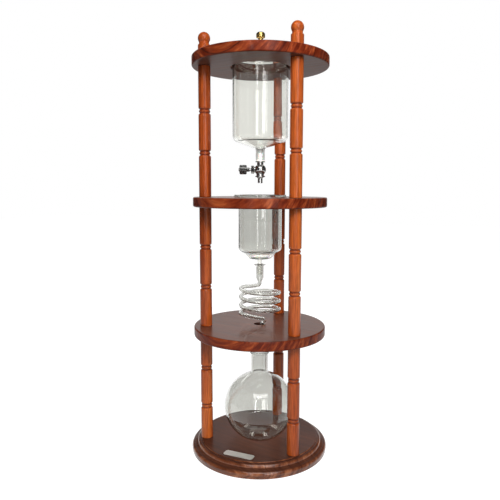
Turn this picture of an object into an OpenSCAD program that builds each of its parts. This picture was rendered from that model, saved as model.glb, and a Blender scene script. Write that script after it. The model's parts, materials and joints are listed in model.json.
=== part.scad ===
// Cold drip coffee tower: a wooden stand that carries a water bowl with a needle
// drip valve, a coffee chamber, a wound glass cooling coil and a round flask.
// Millimetres, +Z up, origin at the middle of the base's underside, front at -Y.

/* [Boards] */
// Diameter of the three round shelves
shelf_d = 230; // [226:1:250]
// Thickness of each shelf
shelf_t = 16.5; // [13:0.5:20]
// Rounding along the rims of the shelves
shelf_round = 2.5; // [1:0.5:5]
// Outer diameter of the moulded base board
base_d = 240.6; // [236:0.2:260]
// Height of the base board
base_h = 21; // [19:0.5:26]
// Diameter of the flat top of the base board
base_top_d = 206.6; // [202:0.2:214]
// Height of the small step round that flat top
base_step = 1.5; // [0.8:0.1:2.5]
// Radius of the upper bead of the base moulding
upper_bead_r = 5.5; // [4.5:0.1:6.5]
// Radius of the lower bead of the base moulding
lower_bead_r = 6; // [5:0.1:7]

/* [Posts] */
// Diameter of the turned posts
post_d = 20.6; // [18:0.2:24]
// Distance of each post from the middle of the stand
post_pitch_r = 94; // [90:0.5:98]
// Height of the posts under the lower shelf
lower_post_h = 187; // [180:1:210]
// Height of the posts under the middle shelf
middle_post_h = 207; // [200:1:225]
// Height of the posts under the top board
upper_post_h = 215.5; // [208:0.5:235]
// Distance between the two turned beads of a post
bead_spacing = 69; // [50:1:90]
// Depth of the grooves beside each bead
groove_depth = 2.1; // [1:0.1:2.6]
// Depth of the bead's crown below the post's surface
bead_drop = 0.9; // [0.3:0.1:0.9]
// Width of each turned bead
bead_w = 4.2; // [3:0.1:5]
// Width of the flat floor of each groove
groove_w = 1.6; // [1:0.1:2.4]
// Length of the rounded shoulder outside each groove
shoulder_l = 3; // [2:0.1:4]
// Rounding at the ends of posts and finials
post_round = 1; // [0.5:0.1:2]

/* [Finials] */
// Height of the finial's straight foot
finial_foot_h = 18; // [16:0.5:22]
// Diameter of the finial's ball
finial_ball_d = 20.4; // [17:0.1:22]
// Diameter of the neck under the ball
finial_neck_d = 16.8; // [14:0.1:17]
// Height of the ball's middle above the board
finial_ball_z = 28; // [26:0.5:32]

/* [Wood fasteners] */
// Diameter of the threaded studs and of the base screws
stud_d = 6; // [5:0.5:7]
// Length of stud held in each post end
stud_hold = 13; // [10:0.5:14]
// Outer diameter of the threaded inserts
insert_d = 10; // [9:0.5:11]
// Length of the threaded inserts
insert_l = 15; // [14.5:0.5:17]
// Extra depth of the hole beyond an insert
insert_relief = 1; // [0.5:0.5:2]
// Clearance round a stud where it passes a board
stud_gap = 0.25; // [0.1:0.05:0.5]
// Head diameter of the base screws
screw_head_d = 12; // [10:0.5:14]
// Depth of the base screws' heads under the underside
screw_sink = 1; // [0.5:0.1:2]
// Width across the flats of the base screws' sockets
hex_socket = 4; // [3:0.5:5]
// Depth of the base screws' sockets
hex_depth = 2.4; // [1.5:0.1:3]

/* [Nameplate] */
// Width of the blank plate let into the base
plate_w = 53; // [40:1:60]
// Depth of the plate from front to back
plate_l = 16; // [12:0.5:20]
// Thickness of the plate
plate_t = 1.2; // [0.8:0.1:2]
// Size of the plate's clipped corners
plate_clip = 3; // [1:0.5:5]
// Distance of the plate's middle from the middle of the stand
plate_y = 86.5; // [82:0.5:89]
// Clearance round the plate in its recess
plate_gap = 0.1; // [0.05:0.05:0.3]

/* [Water bowl] */
// Outer diameter of the water bowl
bowl_d = 95; // [88:0.5:96]
// Wall thickness of the water bowl
bowl_wall = 2.5; // [2:0.1:3.5]
// Clearance between the bowl and the board's hole
bowl_gap = 3; // [1:0.5:4]
// Width of flange that rests on the board
bowl_rest = 5.5; // [4:0.5:8]
// Thickness of the bowl's flange
bowl_flange_t = 4.5; // [3:0.5:6]
// Depth of the bowl's straight wall under the board's top
bowl_depth = 136.5; // [110:0.5:140]
// Rounding between the bowl's wall and its cone
bowl_round = 12; // [6:0.5:16]
// Height of the bowl's shallow cone
bowl_cone_h = 13.5; // [12:0.5:24]
// Outer diameter of the bowl's stem
stem_d = 15.1; // [14:0.1:17]
// Bore of the bowl's stem
stem_bore = 10.1; // [9:0.1:11]
// Length of the bowl's stem under the cone
stem_l = 19; // [15:0.5:24]
// Rounding where the cone meets the stem
stem_round = 3; // [1:0.5:4]
// Rounding along the rims of all the turned glass
glass_round = 1; // [0.5:0.1:1.2]

/* [Lid] */
// Height of the clear dome above its rim
dome_h = 14.5; // [10:0.5:15]
// Thickness of the glass of the lid
lid_t = 2.5; // [2:0.1:3]
// Thickness of the lid's rim
lid_rim_t = 3; // [2.5:0.1:4]
// Setback of the lid's rim from the bowl's flange
lid_setback = 1; // [0.5:0.5:2]
// Width of the lid's flat rim
lid_rim_w = 5; // [4:0.5:7]
// Depth of the locating ring under the lid
lid_ring_h = 4; // [3:0.5:8]
// Thickness of that ring
lid_ring_t = 2; // [1.5:0.1:3]
// Clearance between that ring and the bowl's wall
lid_gap = 1; // [0.5:0.1:2]
// Diameter of the flat on top of the dome
lid_flat_d = 13; // [12.5:0.5:15]
// Chamfer along the lid's edge
lid_chamfer = 0.7; // [0.3:0.1:1]

/* [Lid knob] */
// Diameter of the brass knob's head
lid_knob_d = 15; // [13:0.5:18]
// Diameter of the knob's neck
lid_knob_neck_d = 8; // [7:0.5:9]
// Diameter of the knob's foot
lid_knob_foot_d = 12; // [10:0.5:12.5]
// Height of the knob's foot
lid_knob_foot_h = 1.6; // [1:0.1:2.5]
// Whole height of the knob
lid_knob_h = 19.4; // [17:0.1:22]
// Height of the knob's head
lid_knob_head_h = 9.4; // [8:0.1:10]
// Height of the taper from the knob's foot to its neck
lid_knob_taper_h = 1; // [0.5:0.1:2]
// Rounding along the knob's foot
lid_knob_foot_round = 0.6; // [0.3:0.1:0.8]
// Rounding at the top of the knob's neck
lid_knob_neck_round = 1.5; // [0.5:0.1:2]
// Rounding under the knob's head
lid_knob_round = 2.4; // [1:0.1:2.8]
// Rounding of the knob's crown
lid_knob_crown = 6.5; // [3:0.1:6.5]
// Diameter of the screw that holds the knob
lid_screw_d = 4; // [3:0.5:4.5]
// Length of that screw inside the knob
lid_screw_hold = 9; // [7:0.5:12]
// Head diameter of that screw
lid_screw_head_d = 8; // [7:0.5:9]
// Head height of that screw
lid_screw_head_h = 2.6; // [2:0.1:3]
// Diameter of the soft washer under the lid
washer_d = 11; // [10:0.5:12]
// Thickness of that washer
washer_t = 1; // [0.5:0.1:2]
// Clearance of the screw in glass and washer
lid_screw_gap = 0.3; // [0.2:0.1:0.5]

/* [Drip valve] */
// Thickness of the seal's flange under the stem
seal_flange_t = 2; // [1.5:0.1:3]
// Length of the seal's plug inside the stem
seal_plug_l = 12; // [10:0.5:14]
// Outer diameter of the valve's inlet tube
inlet_d = 5; // [4:0.5:6]
// Height of the inlet tube above the plug
inlet_rise = 2; // [1:0.5:4]
// Diameter of the bore that the water runs through
water_bore = 2.5; // [2:0.1:3]
// Diameter of the valve's upper rim
rim_d = 16.3; // [15:0.1:18]
// Thickness of the valve's upper rim
rim_t = 2; // [1.5:0.1:3]
// Diameter of the neck above the valve's ball
neck_d = 11; // [10:0.5:12]
// Diameter of the valve's ball
ball_d = 19.8; // [17:0.1:20]
// Distance from the valve's rim down to its ball's middle
ball_drop = 14.4; // [13:0.1:16]
// Diameter of the collar under the ball
collar_d = 13; // [12:0.5:14]
// Distance from the ball's middle down to the nozzle's flange
collar_drop = 10.6; // [10:0.1:12]
// Direction of the spindle, counted from +X
spindle_angle = 203; // [180:1:225]

/* [Outlet nozzle] */
// Diameter of the nozzle's flange
nozzle_flange_d = 16.8; // [15:0.1:18]
// Thickness of the nozzle's flange
nozzle_flange_t = 2; // [1.5:0.1:3]
// Outer diameter of the nozzle's tube
nozzle_d = 8.2; // [7:0.1:9]
// Length of the nozzle's tube under the flange
nozzle_l = 10.2; // [8:0.1:14]
// Height of the taper under the nozzle's flange
nozzle_taper_h = 2; // [1:0.1:3]
// Diameter of the spigot that screws into the valve
spigot_d = 7; // [6:0.5:8]
// Length of that spigot
spigot_l = 5; // [4:0.5:5.5]

/* [Spindle and knob] */
// Diameter of the spindle's shaft
shaft_d = 5; // [4.5:0.1:5.5]
// Diameter of the spindle's needle
needle_d = 3.8; // [3:0.1:4]
// Length of the needle's straight part past the middle
needle_past = 1.3; // [1:0.1:2]
// Length of the needle's conical tip
tip_l = 2.7; // [2:0.1:3]
// Diameter of the blunt end of the tip
tip_d = 1.2; // [0.8:0.1:1.6]
// Distance from the middle to the shaft's shoulder
shoulder_x = 3.8; // [3.5:0.1:4.5]
// Running clearance of the spindle
spindle_gap = 0.1; // [0.1:0.01:0.2]
// Diameter of the boss that carries the gland
boss_d = 10; // [9.6:0.1:11]
// Distance from the middle to the boss's end
boss_x = 13.5; // [13:0.1:15]
// Thickness of the O-ring's section
ring_section = 1.5; // [1.3:0.1:1.6]
// Distance from the middle to the gland nut's inner face
nut_x = 10.4; // [10:0.1:11]
// Distance from the middle to the gland nut's outer face
nut_end = 15.5; // [15.3:0.1:17]
// Width across the flats of the gland nut
nut_flats = 12.4; // [12.2:0.1:14]
// How much is turned off across the corners of the gland nut
nut_turned = 0.6; // [0.3:0.1:0.9]
// Distance from the middle to the end of the knob's hub
hub_x = 18.3; // [18.2:0.1:19]
// Diameter of the knob's hub
hub_d = 7; // [7:0.1:9]
// Distance from the middle to the knob's inner face
knob_x = 23; // [21:0.1:24]
// Distance from the middle to the knob's outer face
knob_end = 35.4; // [33:0.1:38]
// Diameter of the valve's knob
knob_d = 16.2; // [14:0.1:18]
// Number of flutes round the knob
knob_flutes = 18; // [12:1:24]
// Diameter of the cutter that makes each flute
flute_d = 1.6; // [1.4:0.1:2]
// Depth of each flute
flute_depth = 0.5; // [0.3:0.05:0.7]
// Rounding at the knob's edges
knob_round = 2; // [0.5:0.1:2.5]
// Depth of the shaft's end under the knob's outer face
shaft_sink = 3; // [2:0.5:4]
// Diameter of the knob's retaining screw
knob_screw_d = 3; // [2.5:0.1:3]
// Length of that screw inside the shaft
knob_screw_l = 7; // [5:0.5:9]
// Head diameter of that screw
knob_screw_head_d = 6; // [5:0.5:7]
// Height of that screw's domed head
knob_screw_head_h = 1.6; // [1:0.1:2.5]
// Free depth of the shaft's hole beyond that screw
knob_screw_relief = 1; // [0.5:0.1:2]

/* [Coffee chamber] */
// Outer diameter of the coffee chamber
chamber_d = 75; // [68:0.5:80]
// Wall thickness of the coffee chamber
chamber_wall = 2.5; // [2:0.1:3]
// Clearance between the chamber and the shelf's hole
chamber_gap = 1; // [0.5:0.5:3]
// Width of flange that rests on the shelf
chamber_rest = 6.5; // [5:0.5:9]
// Thickness of the chamber's flange
chamber_flange_t = 4; // [3:0.5:5]
// Depth of the chamber's floor under the shelf's top
chamber_depth = 106.3; // [98:0.1:108]
// Height of the cone at the chamber's foot
chamber_cone_h = 9.3; // [8:0.1:11]
// Diameter of the chamber's flat foot
chamber_foot_d = 38; // [36:0.5:42]
// Height of the rounded shoulder above the cone
chamber_shoulder_h = 6; // [4:0.5:8]
// Diameter at the top of the cone
chamber_cone_d = 56; // [54:0.5:60]
// Outer diameter of the chamber's drip tube
drip_d = 8.6; // [7.5:0.1:8.8]
// Wall of the chamber's drip tube
drip_wall = 1.6; // [1.2:0.1:2]
// Length of the drip tube under the foot
drip_l = 28.7; // [24:0.1:30]
// Rounding between the chamber's wall and its shoulder
chamber_round = 8; // [5:0.5:8.5]
// Rounding along the chamber's cone, foot and drip tube
foot_round = 2; // [1:0.1:2.5]

/* [Filter] */
// Diameter of the filter disc
filter_d = 38; // [36:0.5:39]
// Thickness of the filter disc
filter_t = 3.6; // [3:0.1:5]
// Thickness of the seal's lip round the disc
seal_lip = 1.7; // [1:0.1:2]
// Height of the seal's foot under the disc
seal_foot_h = 3.1; // [2.5:0.1:4]
// Width of the seal's foot
seal_foot_w = 4.6; // [3:0.1:6]
// Chamfer along the outer edge of the seal's foot
seal_edge = 0.5; // [0.4:0.1:0.8]
// Clearance between the seal and the chamber's cone
filter_gap = 0.5; // [0.3:0.1:0.6]

/* [Cooling coil] */
// Number of turns of the glass coil
coil_turns = 3; // [3:1:3]
// Diameter of the coil at the middle of its tube
coil_d = 67.2; // [60:0.1:76]
// Outer diameter of the coil's tube
tube_d = 7; // [6:0.1:7.4]
// Wall of the coil's tube
tube_wall = 1.3; // [1:0.1:1.6]
// Radius of the bends where the turns meet the straight runs
turn_bend_r = 8; // [7:0.1:10]
// Radius of the bend under the funnel
axis_bend_r = 6.5; // [5.5:0.1:7]
// Slope of the run where it leaves the funnel's bend
inlet_slope = 8; // [6:0.5:16]
// Fall of the tube from that bend to the first turn
inlet_drop = 4.5; // [4:0.1:8]
// Slope of the run where it reaches the hook over the shelf's hole
outlet_slope = 4; // [0:0.5:10]
// Fall of the tube from the last turn to that hook
outlet_drop = 10.5; // [7:0.1:12]
// Outer diameter of the coil's funnel
funnel_d = 13.5; // [13:0.1:15]
// Outer diameter of the funnel's lip
funnel_lip_d = 20.4; // [18:0.1:22]
// Thickness of the funnel's lip
funnel_lip_h = 2; // [1.5:0.1:3]
// Rounding along the funnel's lip
funnel_lip_round = 0.6; // [0.3:0.1:0.8]
// Height of the taper under the funnel's lip
funnel_lip_taper = 1.2; // [0.8:0.1:2]
// Flare of the funnel's bore just under its mouth
funnel_flare = 1; // [0.5:0.1:1.5]
// Height of the funnel's straight part with its lip
funnel_h = 22.5; // [18:0.5:24]
// Height of the funnel's taper
funnel_taper_h = 9.5; // [9:0.5:13]
// Length of the chamber's drip tube inside the funnel
drip_overlap = 18.5; // [13:0.5:20]
// Radius of the hook that rests at the edge of the shelf's hole
hook_r = 4; // [3.9:0.1:4.5]
// How far the hook turns back past upright, in degrees
hook_turn = 60; // [50:1:70]
// Height of the hook's middle over the shelf
hook_rise = 5.5; // [5.5:0.1:7]
// Distance of the coil's leg from the middle line
leg_offset = 4.5; // [3:0.1:4.6]
// Clearance between the hook and the edge of the hole
hook_gap = 0.25; // [0.15:0.05:0.5]
// Distance from the coil's leg down to the flask's lip
leg_gap = 14; // [10:0.5:18]

/* [Flask] */
// Diameter of the flask's round body
flask_d = 125; // [122:0.5:132]
// Height of the body's middle above the base
flask_z = 54; // [50:0.5:60]
// Wall thickness of the flask
flask_wall = 2; // [1.5:0.1:2.5]
// Outer diameter of the flask's neck
flask_neck_d = 30; // [27:0.5:34]
// Whole height of the flask
flask_h = 155; // [150:0.5:158]
// Outer diameter of the flask's lip
flask_lip_d = 33.6; // [32:0.1:38]
// Height of the flask's lip
flask_lip_h = 4; // [3:0.5:6]
// Rounding between the flask's body and neck
flask_round = 5; // [3:0.5:8]

/* [Hidden] */

$fn = 96;
// Step between the points of a rounded corner, in degrees
arc_step = 15;
// Distance by which cuts run past the faces they open
past = 1;
// Share of a domed screw head's height that is rounded
head_round = 0.75;

cherry = "#a94c28";
walnut = "#5c3a30";
clear_glass = [0.82, 0.86, 0.86, 0.45];
silver = "#c9ccd0";
brass = "#b98a3c";
steel = "#9a9ca0";
rubber_white = "#e8e6e0";
frit = "#d8d4ca";

left_angle = -150;
right_angle = -30;
back_angle = 90;
post_angles = [left_angle, right_angle, back_angle];

// Heights of the boards' faces
lower_z = base_h + lower_post_h;
lower_top = lower_z + shelf_t;
middle_z = lower_top + middle_post_h;
middle_top = middle_z + shelf_t;
top_z = middle_top + upper_post_h;
board_top = top_z + shelf_t;
board_undersides = [lower_z, middle_z, top_z];

post_r = post_d / 2;
insert_hole = insert_l + insert_relief;
stud_l = shelf_t + 2 * stud_hold;

bowl_hole_d = bowl_d + 2 * bowl_gap;
bowl_flange_d = bowl_hole_d + 2 * bowl_rest;
bowl_wall_z = board_top - bowl_depth;
stem_z = bowl_wall_z - bowl_cone_h;
stem_end = stem_z - stem_l;
flange_top = board_top + bowl_flange_t;

lid_r = bowl_flange_d / 2 - lid_setback;
dome_r = lid_r - lid_rim_w;
dome_base = flange_top + lid_rim_t;
dome_top = dome_base + dome_h;
lid_ring_r = bowl_d / 2 - bowl_wall - lid_gap;

valve_top = stem_end - seal_flange_t;
valve_z = valve_top - ball_drop;
nozzle_top = valve_z - collar_drop;

// The hook's outside just clears the upper edge of the shelf's hole
hook_x = leg_offset - hook_r * (2 * cos(hook_turn) - 1);
leg_hole_d = 2 * (hook_x + sqrt(pow(hook_r + tube_d / 2 + hook_gap, 2) - pow(hook_rise, 2)));

chamber_hole_d = chamber_d + 2 * chamber_gap;
chamber_flange_d = chamber_hole_d + 2 * chamber_rest;
foot_z = middle_top - chamber_depth;
cone_top = foot_z + chamber_cone_h;
floor_z = foot_z + chamber_wall;
drip_end = foot_z - drip_l;
seal_r = filter_d / 2 + seal_lip;
disc_z = floor_z + seal_foot_h;

flask_top = base_h + flask_h;
ball_z = base_h + flask_z;

// Corner [x, y, radius] of an outline, with the corner before it and the one
// after it, as the points of its rounded corner
function unit(v) = v / norm(v);
function xy(c) = [c[0], c[1]];
function corner(before, c, after) =
    c[2] == 0 ? [xy(c)] :
    let(
        u = unit(xy(before) - xy(c)),
        v = unit(xy(after) - xy(c)),
        half = acos(max(-1, min(1, u * v))) / 2,
        room = 0.49 * min(norm(xy(before) - xy(c)), norm(xy(after) - xy(c))),
        r = min(c[2], room * tan(half)),
        middle = xy(c) + unit(u + v) * r / sin(half),
        first = xy(c) + u * r / tan(half) - middle,
        last = xy(c) + v * r / tan(half) - middle,
        start = atan2(first[1], first[0]),
        turn = atan2(last[1], last[0]) - start,
        sweep = turn > 180 ? turn - 360 : turn < -180 ? turn + 360 : turn,
        steps = max(2, ceil(abs(sweep) / arc_step))
    )
    [for (i = [0:steps]) middle + r * [cos(start + sweep * i / steps), sin(start + sweep * i / steps)]];
function rounded(corners) =
    let(n = len(corners))
    [for (i = [0:n - 1], p = corner(corners[(i + n - 1) % n], corners[i], corners[(i + 1) % n])) p];

// Points of an arc round [x, y] from angle a to angle b
function arc(x, y, r, a, b, steps) =
    [for (i = [0:steps]) [x + r * cos(a + (b - a) * i / steps), y + r * sin(a + (b - a) * i / steps)]];

// A turned solid from an outline of [radius, height, rounding] corners
module turned(corners) {
    rotate_extrude() polygon(rounded(corners));
}

module ring(outer_d, inner_d, z, h) {
    translate([0, 0, z]) difference() {
        cylinder(d = outer_d, h = h);
        translate([0, 0, -past]) cylinder(d = inner_d, h = h + 2 * past);
    }
}

module at_posts() {
    for (angle = post_angles) rotate(angle) translate([post_pitch_r, 0, 0]) children();
}

// Places what is drawn along +X at the spindle's height and direction
module along_spindle() {
    translate([0, 0, valve_z]) rotate([0, 0, spindle_angle]) rotate([0, 90, 0]) children();
}

// ---- Boards ----

module base_board() {
    step_r = base_top_d / 2;
    upper_z = base_h - base_step - upper_bead_r;
    outer_r = base_d / 2;
    outline = concat(
        [[0, 0], [0, base_h], [step_r, base_h], [step_r, base_h - base_step]],
        arc(step_r + base_step, upper_z, upper_bead_r, 90, 0, 6),
        arc(outer_r - lower_bead_r, lower_bead_r, lower_bead_r, 90, -30, 9),
        [[outer_r - lower_bead_r * (1 - cos(30)), 0]]
    );
    color(walnut) difference() {
        rotate_extrude() polygon(outline);
        at_posts() translate([0, 0, -past]) cylinder(d = stud_d + 2 * stud_gap, h = base_h + 2 * past);
        at_posts() translate([0, 0, -past]) cylinder(d = screw_head_d, h = screw_sink + past);
        at_posts() translate([0, 0, screw_sink]) screw_cone();
        plate_block(plate_gap, plate_t + past);
    }
}

module screw_cone() {
    cylinder(d1 = screw_head_d, d2 = stud_d, h = (screw_head_d - stud_d) / 2);
}

module shelf(z, hole_d) {
    color(walnut) difference() {
        translate([0, 0, z]) turned([
            [0, 0, 0], [shelf_d / 2, 0, shelf_round], [shelf_d / 2, shelf_t, shelf_round], [0, shelf_t, 0]
        ]);
        translate([0, 0, z - past]) cylinder(d = hole_d, h = shelf_t + 2 * past);
        at_posts() translate([0, 0, z - past]) cylinder(d = stud_d + 2 * stud_gap, h = shelf_t + 2 * past);
    }
}

module lower_shelf() {
    shelf(lower_z, leg_hole_d);
}

module middle_shelf() {
    shelf(middle_z, chamber_hole_d);
}

module top_board() {
    shelf(top_z, bowl_hole_d);
}

// ---- Posts and finials ----

// Half outline of one bead between its two grooves, round height z
function bead_outline(z) =
    let(
        groove_r = post_r - groove_depth,
        half = bead_w / 2,
        end = half + groove_w + shoulder_l
    )
    concat(
        [for (a = [0:22.5:90]) [groove_r + groove_depth * cos(a), z - end + shoulder_l * sin(a)]],
        [for (a = [0:30:180]) [groove_r + (groove_depth - bead_drop) * sin(a), z - half * cos(a)]],
        [for (a = [90:-22.5:0]) [groove_r + groove_depth * cos(a), z + end - shoulder_l * sin(a)]]
    );

module post(angle, z, h) {
    outline = concat(
        [[0, 0]],
        arc(post_r - post_round, post_round, post_round, -90, 0, 4),
        bead_outline((h - bead_spacing) / 2),
        bead_outline((h + bead_spacing) / 2),
        arc(post_r - post_round, h - post_round, post_round, 0, 90, 4),
        [[0, h]]
    );
    color(cherry) rotate(angle) translate([post_pitch_r, 0, z]) difference() {
        rotate_extrude() polygon(outline);
        translate([0, 0, -past]) cylinder(d = insert_d, h = insert_hole + past);
        translate([0, 0, h - insert_hole]) cylinder(d = insert_d, h = insert_hole + past);
    }
}

module finial(angle) {
    ball_r = finial_ball_d / 2;
    neck_r = finial_neck_d / 2;
    neck_z = finial_ball_z - sqrt(ball_r * ball_r - neck_r * neck_r);
    outline = concat(
        [[0, 0]],
        arc(post_r - post_round, post_round, post_round, -90, 0, 4),
        arc(post_r - post_round, finial_foot_h - post_round, post_round, 0, 90, 4),
        [[neck_r, finial_foot_h + post_round], [neck_r, neck_z]],
        arc(0, finial_ball_z, ball_r, -acos(neck_r / ball_r), 90, 14)
    );
    color(cherry) rotate(angle) translate([post_pitch_r, 0, board_top]) difference() {
        rotate_extrude() polygon(outline);
        translate([0, 0, -past]) cylinder(d = insert_d, h = insert_hole + past);
    }
}

module lower_post_left() {
    post(left_angle, base_h, lower_post_h);
}

module lower_post_right() {
    post(right_angle, base_h, lower_post_h);
}

module lower_post_back() {
    post(back_angle, base_h, lower_post_h);
}

module middle_post_left() {
    post(left_angle, lower_top, middle_post_h);
}

module middle_post_right() {
    post(right_angle, lower_top, middle_post_h);
}

module middle_post_back() {
    post(back_angle, lower_top, middle_post_h);
}

module upper_post_left() {
    post(left_angle, middle_top, upper_post_h);
}

module upper_post_right() {
    post(right_angle, middle_top, upper_post_h);
}

module upper_post_back() {
    post(back_angle, middle_top, upper_post_h);
}

module finial_left() {
    finial(left_angle);
}

module finial_right() {
    finial(right_angle);
}

module finial_back() {
    finial(back_angle);
}

// ---- Wood fasteners ----

// One insert flush with each post end and under each finial
module threaded_inserts() {
    color(brass) at_posts() {
        ring(insert_d, stud_d, base_h, insert_l);
        for (z = board_undersides) {
            ring(insert_d, stud_d, z - insert_l, insert_l);
            ring(insert_d, stud_d, z + shelf_t, insert_l);
        }
    }
}

// One stud through each board at each post
module shelf_studs() {
    color(steel) at_posts() for (z = board_undersides) {
        translate([0, 0, z - stud_hold]) cylinder(d = stud_d, h = stud_l);
    }
}

module base_screws() {
    color(steel) at_posts() translate([0, 0, screw_sink]) difference() {
        union() {
            screw_cone();
            cylinder(d = stud_d, h = base_h - screw_sink + stud_hold);
        }
        translate([0, 0, -past]) cylinder(d = hex_socket / cos(30), h = hex_depth + past, $fn = 6);
    }
}

// ---- Nameplate ----

module plate_block(gap, h) {
    x = plate_w / 2 + gap;
    y = plate_l / 2 + gap;
    translate([0, -plate_y, base_h - plate_t]) linear_extrude(h) polygon([
        [x, plate_clip - y], [x, y - plate_clip], [x - plate_clip, y], [plate_clip - x, y],
        [-x, y - plate_clip], [-x, plate_clip - y], [plate_clip - x, -y], [x - plate_clip, -y]
    ]);
}

module nameplate() {
    color(silver) plate_block(0, plate_t);
}

// ---- Water bowl and lid ----

module water_bowl() {
    r = bowl_d / 2;
    inner = r - bowl_wall;
    stem_r = stem_d / 2;
    bore_r = stem_bore / 2;
    color(clear_glass) turned([
        [bore_r, stem_end, 0],
        [stem_r, stem_end, glass_round],
        [stem_r, stem_z, stem_round],
        [r, bowl_wall_z, bowl_round],
        [r, board_top, glass_round],
        [bowl_flange_d / 2, board_top, glass_round],
        [bowl_flange_d / 2, flange_top, glass_round],
        [inner, flange_top, glass_round],
        [inner, bowl_wall_z + bowl_wall, bowl_round - bowl_wall],
        [bore_r, stem_z + bowl_wall, stem_round]
    ]);
}

// The dome is part of a sphere of this radius through its rim and its top
function cap_r(chord, rise) = (chord * chord + rise * rise) / (2 * rise);

// Height above the dome's base at distance x from the middle
function cap_z(x, chord, rise) =
    let(r = cap_r(chord, rise)) sqrt(r * r - x * x) - r + rise;

module bowl_lid() {
    flat_r = lid_flat_d / 2;
    hole_r = lid_screw_d / 2 + lid_screw_gap;
    under_r = dome_r - lid_t;
    steps = 12;
    top_at = cap_z(flat_r, dome_r, dome_h);
    under_rise = dome_h - lid_t + lid_rim_t;
    outline = concat(
        [[hole_r, dome_base + top_at], [flat_r, dome_base + top_at]],
        [for (i = [1:steps]) let(x = flat_r + (dome_r - flat_r) * i / steps)
            [x, dome_base + cap_z(x, dome_r, dome_h)]],
        [
            [lid_r - lid_chamfer, dome_base], [lid_r, dome_base - lid_chamfer],
            [lid_r, flange_top], [lid_ring_r, flange_top],
            [lid_ring_r, flange_top - lid_ring_h], [lid_ring_r - lid_ring_t, flange_top - lid_ring_h]
        ],
        [for (i = [steps:-1:1]) let(x = flat_r + (lid_ring_r - lid_ring_t - flat_r) * i / steps)
            [x, flange_top + cap_z(x, under_r, under_rise)]],
        [[flat_r, dome_base + top_at - lid_t], [hole_r, dome_base + top_at - lid_t]]
    );
    color(clear_glass) rotate_extrude() polygon(outline);
}

lid_seat = dome_base + cap_z(lid_flat_d / 2, dome_r, dome_h);

module lid_knob() {
    neck_r = lid_knob_neck_d / 2;
    head_r = lid_knob_d / 2;
    foot_r = lid_knob_foot_d / 2;
    head_z = lid_knob_h - lid_knob_head_h;
    color(brass) translate([0, 0, lid_seat]) difference() {
        turned([
            [0, 0, 0],
            [foot_r, 0, 0],
            [foot_r, lid_knob_foot_h, lid_knob_foot_round],
            [neck_r, lid_knob_foot_h + lid_knob_taper_h, lid_knob_taper_h],
            [neck_r, head_z, lid_knob_neck_round],
            [head_r, head_z, lid_knob_round],
            [head_r, lid_knob_h, lid_knob_crown],
            [0, lid_knob_h, 0]
        ]);
        translate([0, 0, -past]) cylinder(d = lid_screw_d, h = lid_screw_hold + past);
    }
}

module lid_washer() {
    color(rubber_white)
        ring(washer_d, lid_screw_d + 2 * lid_screw_gap, lid_seat - lid_t - washer_t, washer_t);
}

module lid_screw() {
    head_top = lid_seat - lid_t - washer_t;
    color(steel) union() {
        translate([0, 0, head_top]) cylinder(d = lid_screw_d, h = lid_t + washer_t + lid_screw_hold);
        translate([0, 0, head_top - lid_screw_head_h]) turned([
            [0, 0, 0],
            [lid_screw_head_d / 2, 0, head_round * lid_screw_head_h],
            [lid_screw_head_d / 2, lid_screw_head_h, 0],
            [0, lid_screw_head_h, 0]
        ]);
    }
}

// ---- Drip valve ----

module valve_seal() {
    color(rubber_white) difference() {
        union() {
            translate([0, 0, valve_top]) cylinder(d = stem_d, h = seal_flange_t);
            translate([0, 0, valve_top]) cylinder(d = stem_bore, h = seal_flange_t + seal_plug_l);
        }
        translate([0, 0, valve_top - past])
            cylinder(d = inlet_d, h = seal_flange_t + seal_plug_l + 2 * past);
    }
}

module valve_body() {
    inlet_l = seal_flange_t + seal_plug_l + inlet_rise;
    ring_r = shaft_d / 2 + spindle_gap + ring_section;
    color(silver) difference() {
        union() {
            translate([0, 0, valve_top]) cylinder(d = inlet_d, h = inlet_l);
            translate([0, 0, valve_top - rim_t]) cylinder(d = rim_d, h = rim_t);
            translate([0, 0, valve_z]) cylinder(d = neck_d, h = ball_drop - rim_t);
            translate([0, 0, valve_z]) sphere(d = ball_d);
            translate([0, 0, nozzle_top]) cylinder(d = collar_d, h = collar_drop);
            along_spindle() cylinder(d = boss_d, h = boss_x);
        }
        translate([0, 0, nozzle_top - past])
            cylinder(d = water_bore, h = valve_top + inlet_l - nozzle_top + 2 * past);
        translate([0, 0, nozzle_top - past]) cylinder(d = spigot_d, h = spigot_l + past);
        along_spindle() {
            translate([0, 0, -needle_past]) cylinder(d = needle_d + 2 * spindle_gap, h = boss_x);
            translate([0, 0, -needle_past - tip_l])
                cylinder(d1 = tip_d + 2 * spindle_gap, d2 = needle_d + 2 * spindle_gap, h = tip_l);
            translate([0, 0, shoulder_x - spindle_gap])
                cylinder(d = shaft_d + 2 * spindle_gap, h = boss_x);
            translate([0, 0, boss_x - ring_section]) cylinder(r = ring_r, h = boss_x);
        }
    }
}

module outlet_nozzle() {
    flange_z = nozzle_top - nozzle_flange_t;
    taper_z = flange_z - nozzle_taper_h;
    color(silver) difference() {
        union() {
            translate([0, 0, flange_z]) cylinder(d = nozzle_flange_d, h = nozzle_flange_t);
            translate([0, 0, taper_z]) cylinder(d1 = nozzle_d, d2 = collar_d, h = nozzle_taper_h);
            translate([0, 0, flange_z - nozzle_l]) cylinder(d = nozzle_d, h = nozzle_l);
            translate([0, 0, nozzle_top]) cylinder(d = spigot_d, h = spigot_l);
        }
        translate([0, 0, flange_z - nozzle_l - past])
            cylinder(d = water_bore, h = nozzle_l + nozzle_flange_t + spigot_l + 2 * past);
    }
}

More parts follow.
